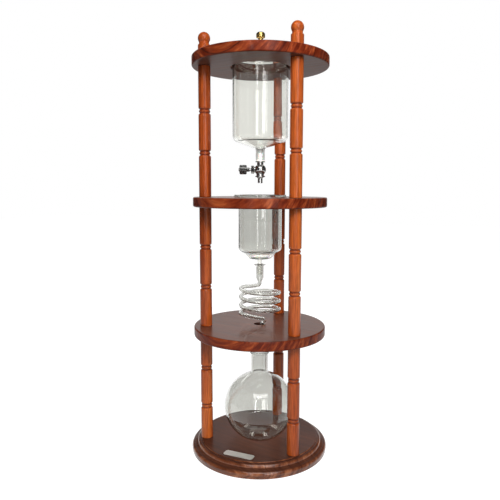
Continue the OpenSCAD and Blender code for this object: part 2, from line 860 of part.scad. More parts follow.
module gland_nut() {
    color(silver) along_spindle() difference() {
        translate([0, 0, nut_x]) intersection() {
            cylinder(d = nut_flats / cos(30), h = nut_end - nut_x, $fn = 6);
            cylinder(d = nut_flats / cos(30) - nut_turned, h = nut_end - nut_x);
        }
        translate([0, 0, nut_x - past]) cylinder(d = boss_d, h = boss_x - nut_x + past);
        translate([0, 0, nut_x]) cylinder(d = shaft_d + 2 * spindle_gap, h = nut_end);
    }
}

// The ring lies between the boss's floor and the gland nut, round the shaft
module spindle_ring() {
    section_r = ring_section / 2;
    color("#2a2a2a") along_spindle() translate([0, 0, boss_x - section_r])
        rotate_extrude() translate([shaft_d / 2 + spindle_gap + section_r, 0]) circle(r = section_r);
}

module needle_spindle() {
    color(silver) along_spindle() difference() {
        union() {
            translate([0, 0, -needle_past - tip_l]) cylinder(d1 = tip_d, d2 = needle_d, h = tip_l);
            translate([0, 0, -needle_past]) cylinder(d = needle_d, h = needle_past + shoulder_x);
            translate([0, 0, shoulder_x]) cylinder(d = shaft_d, h = knob_end - shaft_sink - shoulder_x);
        }
        translate([0, 0, knob_end - shaft_sink - knob_screw_l])
            cylinder(d = knob_screw_d + 2 * spindle_gap, h = knob_screw_l + past);
    }
}

module valve_knob() {
    r = knob_d / 2;
    color(silver) along_spindle() difference() {
        union() {
            translate([0, 0, hub_x]) cylinder(d = hub_d, h = knob_x - hub_x);
            turned([[0, knob_x, 0], [r, knob_x, knob_round], [r, knob_end, knob_round], [0, knob_end, 0]]);
        }
        for (i = [1:knob_flutes]) rotate(i * 360 / knob_flutes)
            translate([r + flute_d / 2 - flute_depth, 0, knob_x - past])
                cylinder(d = flute_d, h = knob_end - knob_x + 2 * past, $fn = 24);
        translate([0, 0, hub_x - past])
            cylinder(d = shaft_d + 2 * spindle_gap, h = knob_end - shaft_sink - hub_x + past + spindle_gap);
        translate([0, 0, hub_x]) cylinder(d = knob_screw_d + 2 * spindle_gap, h = knob_end);
    }
}

module knob_screw() {
    screw_l = shaft_sink + knob_screw_l - knob_screw_relief;
    color(steel) along_spindle() {
        translate([0, 0, knob_end - screw_l]) cylinder(d = knob_screw_d, h = screw_l);
        turned([
            [0, knob_end, 0],
            [knob_screw_head_d / 2, knob_end, 0],
            [knob_screw_head_d / 2, knob_end + knob_screw_head_h, head_round * knob_screw_head_h],
            [0, knob_end + knob_screw_head_h, 0]
        ]);
    }
}

// ---- Coffee chamber and filter ----

module coffee_chamber() {
    r = chamber_d / 2;
    inner = r - chamber_wall;
    drip_r = drip_d / 2;
    bore_r = drip_r - drip_wall;
    foot_r = chamber_foot_d / 2;
    cone_r = chamber_cone_d / 2;
    shoulder_z = cone_top + chamber_shoulder_h;
    // How far the inside of the cone lies inside its outside, measured level
    slope_in = chamber_wall * (sqrt(2) - 1);
    color(clear_glass) turned([
        [bore_r, drip_end, 0],
        [drip_r, drip_end, drip_wall / 2],
        [drip_r, foot_z, foot_round],
        [foot_r, foot_z, foot_round],
        [cone_r, cone_top, foot_round],
        [r, shoulder_z, chamber_round],
        [r, middle_top, glass_round],
        [chamber_flange_d / 2, middle_top, glass_round],
        [chamber_flange_d / 2, middle_top + chamber_flange_t, glass_round],
        [inner, middle_top + chamber_flange_t, glass_round],
        [inner, shoulder_z + slope_in, chamber_round - chamber_wall],
        [cone_r - slope_in, cone_top + chamber_wall, foot_round],
        [foot_r - slope_in, floor_z, foot_round / 2],
        [bore_r, floor_z, foot_round / 2]
    ]);
}

module filter_disc() {
    color(frit) translate([0, 0, disc_z]) cylinder(d = filter_d, h = filter_t);
}

module filter_seal() {
    disc_r = filter_d / 2;
    foot_r = seal_r - seal_foot_h;
    color(rubber_white) rotate_extrude() polygon([
        [foot_r - seal_foot_w, floor_z],
        [foot_r - seal_edge, floor_z],
        [foot_r + seal_edge, floor_z + seal_edge],
        [seal_r, disc_z],
        [seal_r, disc_z + filter_t],
        [disc_r, disc_z + filter_t],
        [disc_r, disc_z],
        [foot_r - seal_foot_w, disc_z]
    ]);
}

// ---- Cooling coil ----

// One glass tube: funnel on the middle line, a run out to the turns, the turns,
// a run back to the middle line, and the leg through the shelf.
// A station is [x, y, z, heading, dip, outer radius, inner radius].
coil_r = coil_d / 2;
tube_r = tube_d / 2;
bore_r = tube_r - tube_wall;
coil_start = spindle_angle;
bend_angle = asin(turn_bend_r / (coil_r - turn_bend_r));
run_l = sqrt(pow(coil_r - turn_bend_r, 2) - pow(turn_bend_r, 2));
bend_l = turn_bend_r * (90 + bend_angle) * PI / 180;
funnel_top = drip_end + drip_overlap;
funnel_end = funnel_top - funnel_h - funnel_taper_h;
hook_z = lower_top + hook_rise;
leg_end = flask_top + leg_gap;

// Level lengths from the funnel's bend to the turns, and from the turns to the hook
inlet_l = run_l - axis_bend_r * (1 - sin(inlet_slope)) + bend_l;
outlet_l = bend_l + run_l + hook_x + hook_r * sin(outlet_slope);
inlet_z = funnel_end - axis_bend_r * cos(inlet_slope);
outlet_z = hook_z + hook_r * cos(outlet_slope);
turns_top = inlet_z - inlet_drop;
turns_end = outlet_z + outlet_drop;
turns_l = coil_turns * 2 * PI * coil_r;
// Fall of the turns for each millimetre along them
turn_fall = (turns_top - turns_end) / turns_l;

// Fall after the share t of a run of length l that drops d in all, where its
// slope goes from f0 to f1, and the slope at that point
function fall_at(t, l, d, f0, f1) =
    (t * t * t - 2 * t * t + t) * l * f0 + (3 * t * t - 2 * t * t * t) * d + (t * t * t - t * t) * l * f1;
function slope_at(t, l, d, f0, f1) =
    (3 * t * t - 4 * t + 1) * f0 + (6 * t - 6 * t * t) * d / l + (3 * t * t - 2 * t) * f1;
function inlet_fall(s) = fall_at(s / inlet_l, inlet_l, inlet_drop, tan(inlet_slope), turn_fall);
function inlet_dip(s) = atan(slope_at(s / inlet_l, inlet_l, inlet_drop, tan(inlet_slope), turn_fall));
function outlet_fall(s) = fall_at(s / outlet_l, outlet_l, outlet_drop, turn_fall, tan(outlet_slope));
function outlet_dip(s) = atan(slope_at(s / outlet_l, outlet_l, outlet_drop, turn_fall, tan(outlet_slope)));

// Station of plain tube, and one on the small bend between a run and the turns
function plain(x, y, z, heading, dip) = [x, y, z, heading, dip, tube_r, bore_r];
function bend_at(heading, z, dip) =
    plain(
        (coil_r - turn_bend_r) * cos(coil_start) + turn_bend_r * sin(heading),
        (coil_r - turn_bend_r) * sin(coil_start) - turn_bend_r * cos(heading),
        z, heading, dip
    );
function upright(z, outer, inner) = [0, 0, z, first_heading, 90, outer, inner];

// Station of plain tube in the upright plane of the last run, u past the middle
function tail_at(u, z, dip) = plain(u * cos(last_heading), u * sin(last_heading), z, last_heading, dip);

coil_sides = 8;
turn_rings = 24;
bend_rings = 6;
axis_rings = 4;
run_rings = 3;
hook_rings = 8;

first_heading = coil_start - bend_angle;
last_heading = coil_start + 180 + bend_angle;
funnel_r = funnel_d / 2;
lip_r = funnel_lip_d / 2;
funnel_bore_r = funnel_r - tube_wall;

lip_edge_r = lip_r - funnel_lip_round;

funnel_part = [
    upright(funnel_top, lip_edge_r, lip_edge_r - tube_wall),
    upright(funnel_top - funnel_lip_h / 2, lip_r, funnel_bore_r + funnel_flare),
    upright(funnel_top - funnel_lip_h, lip_edge_r, funnel_bore_r),
    upright(funnel_top - funnel_lip_h - funnel_lip_taper, funnel_r, funnel_bore_r),
    upright(funnel_top - funnel_h, funnel_r, funnel_bore_r),
    upright(funnel_end + funnel_taper_h / 2, (funnel_r + tube_r) / 2, (funnel_bore_r + bore_r) / 2)
];

inlet_bend = [for (i = [0:axis_rings]) let(
        a = (90 - inlet_slope) * i / axis_rings,
        s = axis_bend_r * (1 - cos(a))
    )
    plain(
        s * cos(first_heading), s * sin(first_heading), funnel_end - axis_bend_r * sin(a),
        first_heading, 90 - a
    )];

inlet_run = [for (i = [1:run_rings - 1]) let(
        s = (inlet_l - bend_l) * i / run_rings,
        x = run_l - inlet_l + bend_l + s
    )
    plain(
        x * cos(first_heading), x * sin(first_heading), inlet_z - inlet_fall(s),
        first_heading, inlet_dip(s)
    )];

inlet_turn = [for (i = [0:bend_rings - 1]) let(
        a = (90 + bend_angle) * i / bend_rings,
        s = inlet_l - bend_l + turn_bend_r * a * PI / 180
    )
    bend_at(first_heading + a, inlet_z - inlet_fall(s), inlet_dip(s))];

turns = [for (i = [0:turn_rings * coil_turns]) let(a = coil_start + 360 * i / turn_rings)
    plain(
        coil_r * cos(a), coil_r * sin(a),
        turns_top - turn_fall * 2 * PI * coil_r * i / turn_rings,
        a + 90, atan(turn_fall)
    )];

outlet_turn = [for (i = [1:bend_rings]) let(
        a = (90 + bend_angle) * i / bend_rings,
        s = turn_bend_r * a * PI / 180
    )
    bend_at(coil_start + 90 + a, turns_end - outlet_fall(s), outlet_dip(s))];

outlet_run = [for (i = [1:run_rings]) let(s = bend_l + (outlet_l - bend_l) * i / (run_rings + 1))
    tail_at(s - bend_l - run_l, turns_end - outlet_fall(s), outlet_dip(s))];

// Over the edge of the hole, back past upright, and straight again
hook = [for (i = [0:hook_rings]) let(a = 90 - outlet_slope - (90 - outlet_slope + hook_turn) * i / hook_rings)
    tail_at(hook_x + hook_r * cos(a), hook_z + hook_r * sin(a), 90 - a)];
hook_back = [for (i = [1:axis_rings]) let(a = 180 - hook_turn + hook_turn * i / axis_rings)
    tail_at(
        hook_x + hook_r * (2 * cos(hook_turn) + cos(a)),
        hook_z + hook_r * (sin(a) - 2 * sin(hook_turn)),
        270 - a
    )];
leg = [tail_at(leg_offset, leg_end + tube_d, 90), tail_at(leg_offset, leg_end, 90)];

stations = concat(
    funnel_part, inlet_bend, inlet_run, inlet_turn, turns,
    outlet_turn, outlet_run, hook, hook_back, leg
);

// Points of the ring of radius r round a station
function ring_points(s, r) =
    let(
        side = [-sin(s[3]), cos(s[3]), 0],
        up = [sin(s[4]) * cos(s[3]), sin(s[4]) * sin(s[3]), cos(s[4])]
    )
    [for (j = [0:coil_sides - 1]) let(a = 360 * (j + 0.5) / coil_sides)
        [s[0], s[1], s[2]] + r * (cos(a) * side + sin(a) * up)];

module swept_tube(path) {
    n = len(path);
    m = coil_sides;
    outer = [for (s = path, p = ring_points(s, s[5])) p];
    inner = [for (s = path, p = ring_points(s, s[6])) p];
    walls = [for (skin = [0, n * m], i = [0:n - 2], j = [0:m - 1]) let(
            a = skin + i * m + j,
            b = skin + i * m + (j + 1) % m,
            outside = skin == 0
        )
        each (outside ? [[a, a + m, b + m], [a, b + m, b]] : [[a, b + m, a + m], [a, b, b + m]])];
    ends = [for (i = [0, n - 1], j = [0:m - 1]) let(
            a = i * m + j,
            b = i * m + (j + 1) % m,
            first = i == 0
        )
        each (first
            ? [[a, b, b + n * m], [a, b + n * m, a + n * m]]
            : [[a, b + n * m, b], [a, a + n * m, b + n * m]])];
    polyhedron(points = concat(outer, inner), faces = concat(walls, ends));
}

// Least gap between the tube's skins, over stations at least half a turn apart
self_gap = min([for (i = [0:len(stations) - 1], j = [i + turn_rings / 2:1:len(stations) - 1])
    norm([for (k = [0:2]) stations[i][k] - stations[j][k]]) - stations[i][5] - stations[j][5]]);
echo(coil_self_gap = self_gap, coil_pitch = turn_fall * 2 * PI * coil_r);

module cooling_coil() {
    color(clear_glass) swept_tube(stations);
}

// ---- Flask ----

module flask() {
    r = flask_d / 2;
    inner = r - flask_wall;
    neck_r = flask_neck_d / 2;
    neck_bore = neck_r - flask_wall;
    lip_r = flask_lip_d / 2;
    foot_a = asin(flask_z / r);
    floor_a = asin((flask_z - flask_wall) / inner);
    // Middle of the rounding between body and neck, and its direction from the ball's middle
    round_x = neck_r + flask_round;
    round_a = acos(round_x / (r + flask_round));
    round_z = ball_z + (r + flask_round) * sin(round_a);
    ball_steps = 26;
    round_steps = 5;
    outline = concat(
        [[0, base_h]],
        arc(0, ball_z, r, -foot_a, round_a, ball_steps),
        arc(round_x, round_z, flask_round, 180 + round_a, 180, round_steps),
        [
            [neck_r, flask_top - flask_lip_h - glass_round], [lip_r, flask_top - flask_lip_h],
            [lip_r, flask_top - glass_round], [lip_r - glass_round, flask_top], [neck_bore, flask_top]
        ],
        arc(round_x, round_z, flask_round + flask_wall, 180, 180 + round_a, round_steps),
        arc(0, ball_z, inner, round_a, -floor_a, ball_steps),
        [[0, base_h + flask_wall]]
    );
    color(clear_glass) rotate_extrude() polygon(outline);
}

base_board();
lower_shelf();
middle_shelf();
top_board();
lower_post_left();
lower_post_right();
lower_post_back();
middle_post_left();
middle_post_right();
middle_post_back();
upper_post_left();
upper_post_right();
upper_post_back();
finial_left();
finial_right();
finial_back();
threaded_inserts();
shelf_studs();
base_screws();
nameplate();
water_bowl();
bowl_lid();
lid_knob();
lid_washer();
lid_screw();
valve_seal();
valve_body();
outlet_nozzle();
gland_nut();
spindle_ring();
needle_spindle();
valve_knob();
knob_screw();
coffee_chamber();
filter_disc();
filter_seal();
cooling_coil();
flask();
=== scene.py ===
"""Looks of the cold drip coffee tower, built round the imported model.

Metres, +Z up, front at -Y. Every piece takes its place from the frame's nodes.
"""

import json
import math

import bmesh
import bpy
from mathutils import Matrix, Vector

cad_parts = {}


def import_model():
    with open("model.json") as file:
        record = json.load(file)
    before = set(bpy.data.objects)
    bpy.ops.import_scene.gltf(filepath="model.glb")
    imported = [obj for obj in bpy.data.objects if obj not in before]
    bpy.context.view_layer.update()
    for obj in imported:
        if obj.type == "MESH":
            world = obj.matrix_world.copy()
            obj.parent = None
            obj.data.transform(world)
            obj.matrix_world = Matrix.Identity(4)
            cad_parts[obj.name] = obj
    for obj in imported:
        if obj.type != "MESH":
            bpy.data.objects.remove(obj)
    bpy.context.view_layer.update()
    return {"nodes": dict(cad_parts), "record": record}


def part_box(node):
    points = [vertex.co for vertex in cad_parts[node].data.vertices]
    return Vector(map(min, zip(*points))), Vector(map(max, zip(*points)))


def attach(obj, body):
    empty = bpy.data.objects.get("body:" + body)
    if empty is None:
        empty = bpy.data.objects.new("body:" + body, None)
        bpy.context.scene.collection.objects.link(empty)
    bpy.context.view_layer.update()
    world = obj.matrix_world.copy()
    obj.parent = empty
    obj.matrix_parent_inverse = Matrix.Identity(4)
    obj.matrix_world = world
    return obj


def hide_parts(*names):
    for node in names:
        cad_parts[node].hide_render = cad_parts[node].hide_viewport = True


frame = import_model()

MM = 0.001
TAU = 2 * math.pi

# ---- Camera: where the photograph was taken from ----

CAMERA_TURN = math.radians(23.12)
CAMERA_AWAY = 0.9337
CAMERA_HEIGHT = 0.4649
CAMERA_TILT = math.radians(6.65)
CAMERA_ROLL = math.radians(0.2)
CAMERA_LENS = 38.80
CAMERA_SENSOR = 36
CAMERA_SHIFT = -0.0198

# ---- Surroundings: world, floor, dark cards and lamps ----

WORLD_LEVEL = 0.05
WORLD_COLOUR = (1, 0.99, 0.98, 1)
FLOOR_HALF = 6.0
FLOOR_COLOUR = (0.30, 0.30, 0.30, 1)
FLAG_COLOUR = (0.03, 0.03, 0.03, 1)
GLOW = {"From Min": 0.3, "From Max": 1.8, "To Min": 0.86, "To Max": 1.0}

FLAG_RING_R = 2.5
FLAG_TOP = 2.4
FLAG_COUNT = 9
FLAG_SHARE = 0.9
FLAG_HALF = math.radians(155)
FLAG_STEPS = 6

# Name, degrees from the camera's own side, distance, height, size, power, the height that
# it is aimed at, and whether gloss mirrors it.
LAMPS = [
    ("key", 0, 1.08, 1.08, (0.3, 0.3), 9.5, 0.45, False),
    ("overhead", 6, 1.3, 1.95, (1.9, 1.0), 28, 0.35, True),
    ("window", 15, 1.9, 0.9, (0.45, 1.2), 9, 0.7, True),
    ("left_strip", -13, 1.85, 0.75, (0.06, 1.5), 3.5, 0.7, True),
    ("right_strip", 26, 1.85, 0.8, (0.05, 1.3), 2, 0.7, True),
    ("back_right", 140, 1.4, 1.8, (0.8, 0.8), 14, 0.45, False),
    ("back_left", 215, 1.5, 1.4, (0.8, 0.8), 10, 0.45, False),
]

# ---- Sizes that the frame's boxes don't give, in metres ----

ON_AXIS = 1e-7
ARC_STEP = math.radians(7.5)
SHARP_ANGLE = math.radians(38)
GLASS_SIDES = 144
TURNED_SIDES = 96
CUTTER_SIDES = 48
STUD_SIDES = 32
BOSS_SIDES = 64

BOARD_ROUND = 2.5 * MM
HOLE_ROUND = 0.4 * MM
STUD_HOLE_R = 3.25 * MM
INSERT_R = 5 * MM
INSERT_HOLE = 16 * MM
LEG_HOLE_R = 9.95 * MM
CHAMBER_GAP = 1 * MM
BOWL_GAP = 3 * MM

POST_ROUND = 1 * MM
BEAD_SPACING = 69 * MM
GROOVE_DEPTH = 2.1 * MM
GROOVE_STEPS = 8
CROWN_STEPS = 12
BEAD_DROP = 0.9 * MM
BEAD_W = 4.2 * MM
GROOVE_W = 1.6 * MM
SHOULDER_L = 3 * MM
FINIAL_FOOT = 18 * MM
FINIAL_NECK_R = 8.4 * MM
FINIAL_BALL_R = 10.2 * MM
# How strongly painted shade darkens a groove's floor
GROOVE_SHADE_LEVEL = 0.75

BASE_TOP_R = 103.3 * MM
BASE_TOP_ROUND = 0.5 * MM
BASE_STEP = 1.5 * MM
UPPER_BEAD_R = 5.5 * MM
LOWER_BEAD_R = 6 * MM
LOWER_BEAD_END = 30
SCREW_HEAD_R = 6 * MM
SCREW_SINK = 1 * MM
PLATE_GAP = 0.1 * MM
PLATE_CLIP = 3 * MM
PLATE_ROUND = 0.35 * MM
PLATE_CUT = 1 * MM

GLASS_ROUND = 1 * MM
BOWL_R = 47.5 * MM
BOWL_WALL = 2.5 * MM
BOWL_ROUND = 12 * MM
BOWL_CONE = 13.5 * MM
STEM_BORE_R = 5.05 * MM
STEM_R = 7.55 * MM
STEM_L = 19 * MM
STEM_ROUND = 3 * MM
SKIN = 0.6 * MM
STREAK_DEPTH = 0.05 * MM

LID_RIM_T = 3 * MM
LID_RIM_W = 5 * MM
LID_RISE = 14.5 * MM
LID_T = 2.5 * MM
LID_RING_R = 44 * MM
LID_RING_T = 2 * MM
LID_FLAT_R = 6.5 * MM
LID_HOLE_R = 2.3 * MM
LID_STEPS = 28

CHAMBER_R = 37.5 * MM
CHAMBER_WALL = 2.5 * MM
CHAMBER_FOOT_R = 19 * MM
CHAMBER_CONE_R = 28 * MM
CHAMBER_CONE = 9.3 * MM
CHAMBER_SHOULDER = 6 * MM
CHAMBER_ROUND = 8 * MM
CHAMBER_FLANGE_T = 4 * MM
DRIP_R = 4.3 * MM
DRIP_WALL = 1.6 * MM
DRIP_L = 28.7 * MM
FOOT_ROUND = 2 * MM

FLASK_WALL = 2 * MM
FLASK_MIDDLE = 54 * MM
FLASK_NECK_R = 15 * MM
FLASK_LIP_R = 16.8 * MM
FLASK_LIP_H = 4 * MM
FLASK_ROUND = 5 * MM
PUNT_R = 19 * MM
PUNT_H = 3 * MM
PUNT_TOP_R = 0.55 * PUNT_R
PUNT_TOP_ROUND = 6 * MM
PUNT_ROUND = 4 * MM

COIL_SIDES = 20
COIL_RINGS = 60
COIL_TURNS = 3
COIL_R = 33.6 * MM
TUBE_R = 3.5 * MM
TUBE_WALL = 1.3 * MM
TURN_BEND_R = 8 * MM
AXIS_BEND_R = 6.5 * MM
INLET_SLOPE = math.radians(8)
INLET_DROP = 4.5 * MM
OUTLET_SLOPE = math.radians(4)
OUTLET_DROP = 10.5 * MM
FUNNEL_R = 6.75 * MM
FUNNEL_H = 22.5 * MM
FUNNEL_TAPER = 9.5 * MM
FUNNEL_LIP_R = 10.2 * MM
FUNNEL_LIP_H = 2 * MM
FUNNEL_LIP_ROUND = 0.6 * MM
FUNNEL_LIP_TAPER = 1.2 * MM
HOOK_R = 4 * MM
HOOK_TURN = math.radians(60)
HOOK_RISE = 5.5 * MM
LEG_OFFSET = 4.5 * MM

# Steps along each stretch of the tube
LIP_STEPS = 8
TAPER_STEPS = 10
AXIS_STEPS = 12
RUN_STEPS = 8
BEND_STEPS = 16
HOOK_STEPS = 24
LEG_STEPS = 10

SPINDLE_ANGLE = math.radians(203)
INLET_RISE = 2 * MM
STEM_PLUG = 12 * MM
SEAL_FLANGE = 2 * MM
WATER_R = 1.25 * MM
INLET_R = 2.5 * MM
RIM_R = 8.15 * MM
RIM_T = 2 * MM
VALVE_NECK_R = 5.5 * MM
BALL_R = 9.9 * MM
BALL_DROP = 14.4 * MM
COLLAR_R = 6.5 * MM
NOZZLE_R = 4.1 * MM
NOZZLE_FLANGE_R = 8.4 * MM
NOZZLE_FLANGE_T = 2 * MM
NOZZLE_TAPER = 2 * MM
SPIGOT_R = 3.5 * MM
SHAFT_R = 2.6 * MM
BOSS_R = 5 * MM
BOSS_X = 13.5 * MM
BORE_PAST = 1 * MM
HUB_R = 3.5 * MM
HUB_X = 18.3 * MM
KNOB_R = 8.1 * MM
KNOB_X = 23 * MM
KNOB_END = 35.4 * MM
KNOB_ROUND = 2 * MM
KNOB_FLUTES = 18
FLUTE_SIDES = 24
FLUTE_DEPTH = 0.5 * MM
FLUTE_SHARPNESS = 6
FLUTE_START_R = KNOB_R - 0.9 * KNOB_ROUND

LID_HEAD_R = 7.5 * MM
LID_HEAD_H = 9.4 * MM
LID_HEAD_ROUND = 6.5 * MM
LID_NECK_R = 4 * MM
LID_NECK_Z = 2.6 * MM
LID_FOOT_R = 6 * MM
LID_FOOT_H = 1.6 * MM
SCREW_BORE_R = 1.5 * MM
SCREW_BORE_L = 8 * MM

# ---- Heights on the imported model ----

BOARD_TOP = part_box("top_board")[1].z
STEM_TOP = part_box("water_bowl")[0].z + STEM_L
CHAMBER_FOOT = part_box("coffee_chamber")[0].z + DRIP_L
FUNNEL_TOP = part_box("cooling_coil")[1].z
FUNNEL_END = FUNNEL_TOP - FUNNEL_H - FUNNEL_TAPER
FLASK_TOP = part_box("flask")[1].z
RIM_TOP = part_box("valve_body")[1].z - INLET_RISE - STEM_PLUG - SEAL_FLANGE
SPINDLE_Z = RIM_TOP - BALL_DROP

# ---- Colours, in linear light, from dark to light along the grain's bands ----

CHERRY = [(0.32, (0.165, 0.021, 0.004)), (0.45, (0.330, 0.057, 0.009)),
          (0.58, (0.460, 0.098, 0.018)), (0.72, (0.610, 0.165, 0.036))]
# Painted shade: the colour that the posts' grooves darken to at their floors
GROOVE_SHADE_COLOUR = (0.120, 0.014, 0.004, 1)
WALNUT = [(0.28, (0.078, 0.024, 0.013)), (0.50, (0.108, 0.035, 0.019)),
          (0.72, (0.140, 0.049, 0.028))]
RED_RIMS = [(0.32, (0.046, 0.005, 0.002)), (0.46, (0.115, 0.014, 0.004)),
            (0.58, (0.205, 0.033, 0.009)), (0.70, (0.360, 0.080, 0.022))]
BROWN_RIMS = [(0.32, (0.074, 0.018, 0.006)), (0.46, (0.185, 0.050, 0.018)),
              (0.58, (0.310, 0.100, 0.038)), (0.70, (0.470, 0.190, 0.078))]
# Painted shade: the near black of the holes' inner walls
HOLE_SHADE_COLOUR = (0.030, 0.012, 0.008, 1)
JOINT_COLOUR = (0.018, 0.006, 0.004, 1)
STRIP_W = 46 * MM
STRIP_LEAN = -0.45
STRIP_TURN = math.radians(11)
# Sides nearer the axis than this, the holes' inner walls, take the painted shade
HOLE_SHADE_WITHIN = 60 * MM
RIMS_BEYOND = 65 * MM
GLASS_IOR = 1.47
GLASS_BODY = (0.10, 0.12, 0.05, 1)
BLUE_SHARE = 0.965


# ---- Mesh helpers ----

def swept(start, sweep, step_count=None):
    """Angles along a sweep, both ends among them."""
    steps = step_count or max(2, math.ceil(abs(sweep) / ARC_STEP))
    return [start + sweep * i / steps for i in range(steps + 1)]


def arc(x, z, r, start, end):
    """Points of an arc round (x, z), in degrees."""
    angles = swept(math.radians(start), math.radians(end - start))
    return [(x + r * math.cos(a), z + r * math.sin(a)) for a in angles]


def corner(before, here, after):
    """A corner (x, z, radius) as the points of its rounding."""
    middle, r = Vector(here[:2]), here[2]
    if r <= 0:
        return [tuple(middle)]
    to_before = Vector(before[:2]) - middle
    to_after = Vector(after[:2]) - middle
    half = to_before.angle(to_after) / 2
    just_under_half = 0.49
    r = min(r, just_under_half * min(to_before.length, to_after.length) * math.tan(half))
    to_before.normalize()
    to_after.normalize()
    centre = middle + (to_before + to_after).normalized() * r / math.sin(half)
    first = middle + to_before * r / math.tan(half) - centre
    last = middle + to_after * r / math.tan(half) - centre
    start = math.atan2(first.y, first.x)
    sweep = (math.atan2(last.y, last.x) - start + math.pi) % TAU - math.pi
    return [(centre.x + r * math.cos(a), centre.y + r * math.sin(a)) for a in swept(start, sweep)]


def rounded(corners, closed=True):
    """An outline of (x, z, radius) corners with every corner rounded."""
    n = len(corners)
    points = []
    for i, here in enumerate(corners):
        if not closed and i in (0, n - 1):
            points.append(tuple(here[:2]))
        else:
            points += corner(corners[i - 1], here, corners[(i + 1) % n])
    return points


def join_rings(bm, low, high):
    """Faces between two rings, one of which may be a single point."""
    sides = max(len(low), len(high))
    for i in range(sides):
        j = (i + 1) % sides
        loop = [low[i % len(low)], low[j % len(low)], high[j % len(high)], high[i % len(high)]]
        face = list(dict.fromkeys(loop))
        if len(face) > 2:
            bm.faces.new(face)


def lathe(outline, at=Matrix.Identity(4), sides=GLASS_SIDES, wave=None):
    """A bmesh turned from (radius, height) points about the axis of at.

    An outline that starts and ends on the axis is solid, and any other is closed
    to a ring. wave gives a small change of radius at (radius, height, angle).
    """
    bm = bmesh.new()
    rings = []
    for r, z in outline:
        if r < ON_AXIS:
            rings.append([bm.verts.new(at @ Vector((0, 0, z)))])
            continue
        ring = []
        for i in range(sides):
            a = TAU * i / sides
            reach = r + (wave(r, z, a) if wave else 0)
            ring.append(bm.verts.new(at @ Vector((reach * math.cos(a), reach * math.sin(a), z))))
        rings.append(ring)
    pairs = list(zip(rings, rings[1:]))
    if outline[0][0] >= ON_AXIS:
        pairs.append((rings[-1], rings[0]))
    for low, high in pairs:
        join_rings(bm, low, high)
    bmesh.ops.recalc_face_normals(bm, faces=bm.faces)
    return bm


def as_object(name, bm):
    mesh = bpy.data.meshes.new(name)
    bm.to_mesh(mesh)
    bm.free()
    obj = bpy.data.objects.new(name, mesh)
    bpy.context.scene.collection.objects.link(obj)
    return obj


def combine(obj, operation, *others):
    """Cuts or joins other objects with this one for good, and removes them."""
    for other in others:
        step = obj.modifiers.new(operation, "BOOLEAN")
        step.operation = operation
        step.solver = "EXACT"
        step.object = other
    shown = obj.evaluated_get(bpy.context.evaluated_depsgraph_get())
    mesh = bpy.data.meshes.new_from_object(shown)
    obj.modifiers.clear()
    obj.data = mesh
    for other in others:
        bpy.data.objects.remove(other)
    return obj


def finished(obj, body, material, nodes, sharp=SHARP_ANGLE, shadow=True):
    """Smooth shading, finish and place in the frame for a new piece."""
    mesh = obj.data
    mesh.shade_smooth()
    mesh.set_sharp_from_angle(angle=sharp)
    weights = obj.modifiers.new("normals", "WEIGHTED_NORMAL")
    weights.keep_sharp = True
    mesh.materials.clear()
    mesh.materials.append(material)
    obj.visible_shadow = shadow
    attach(obj, body)
    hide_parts(*nodes)
    return obj


def axis_of(node):
    """The middle of a node's box, and an upright frame on its axis that starts at z = 0."""
    low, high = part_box(node)
    middle = (low + high) / 2
    return middle, Matrix.Translation((middle.x, middle.y, 0))


# ---- Materials ----

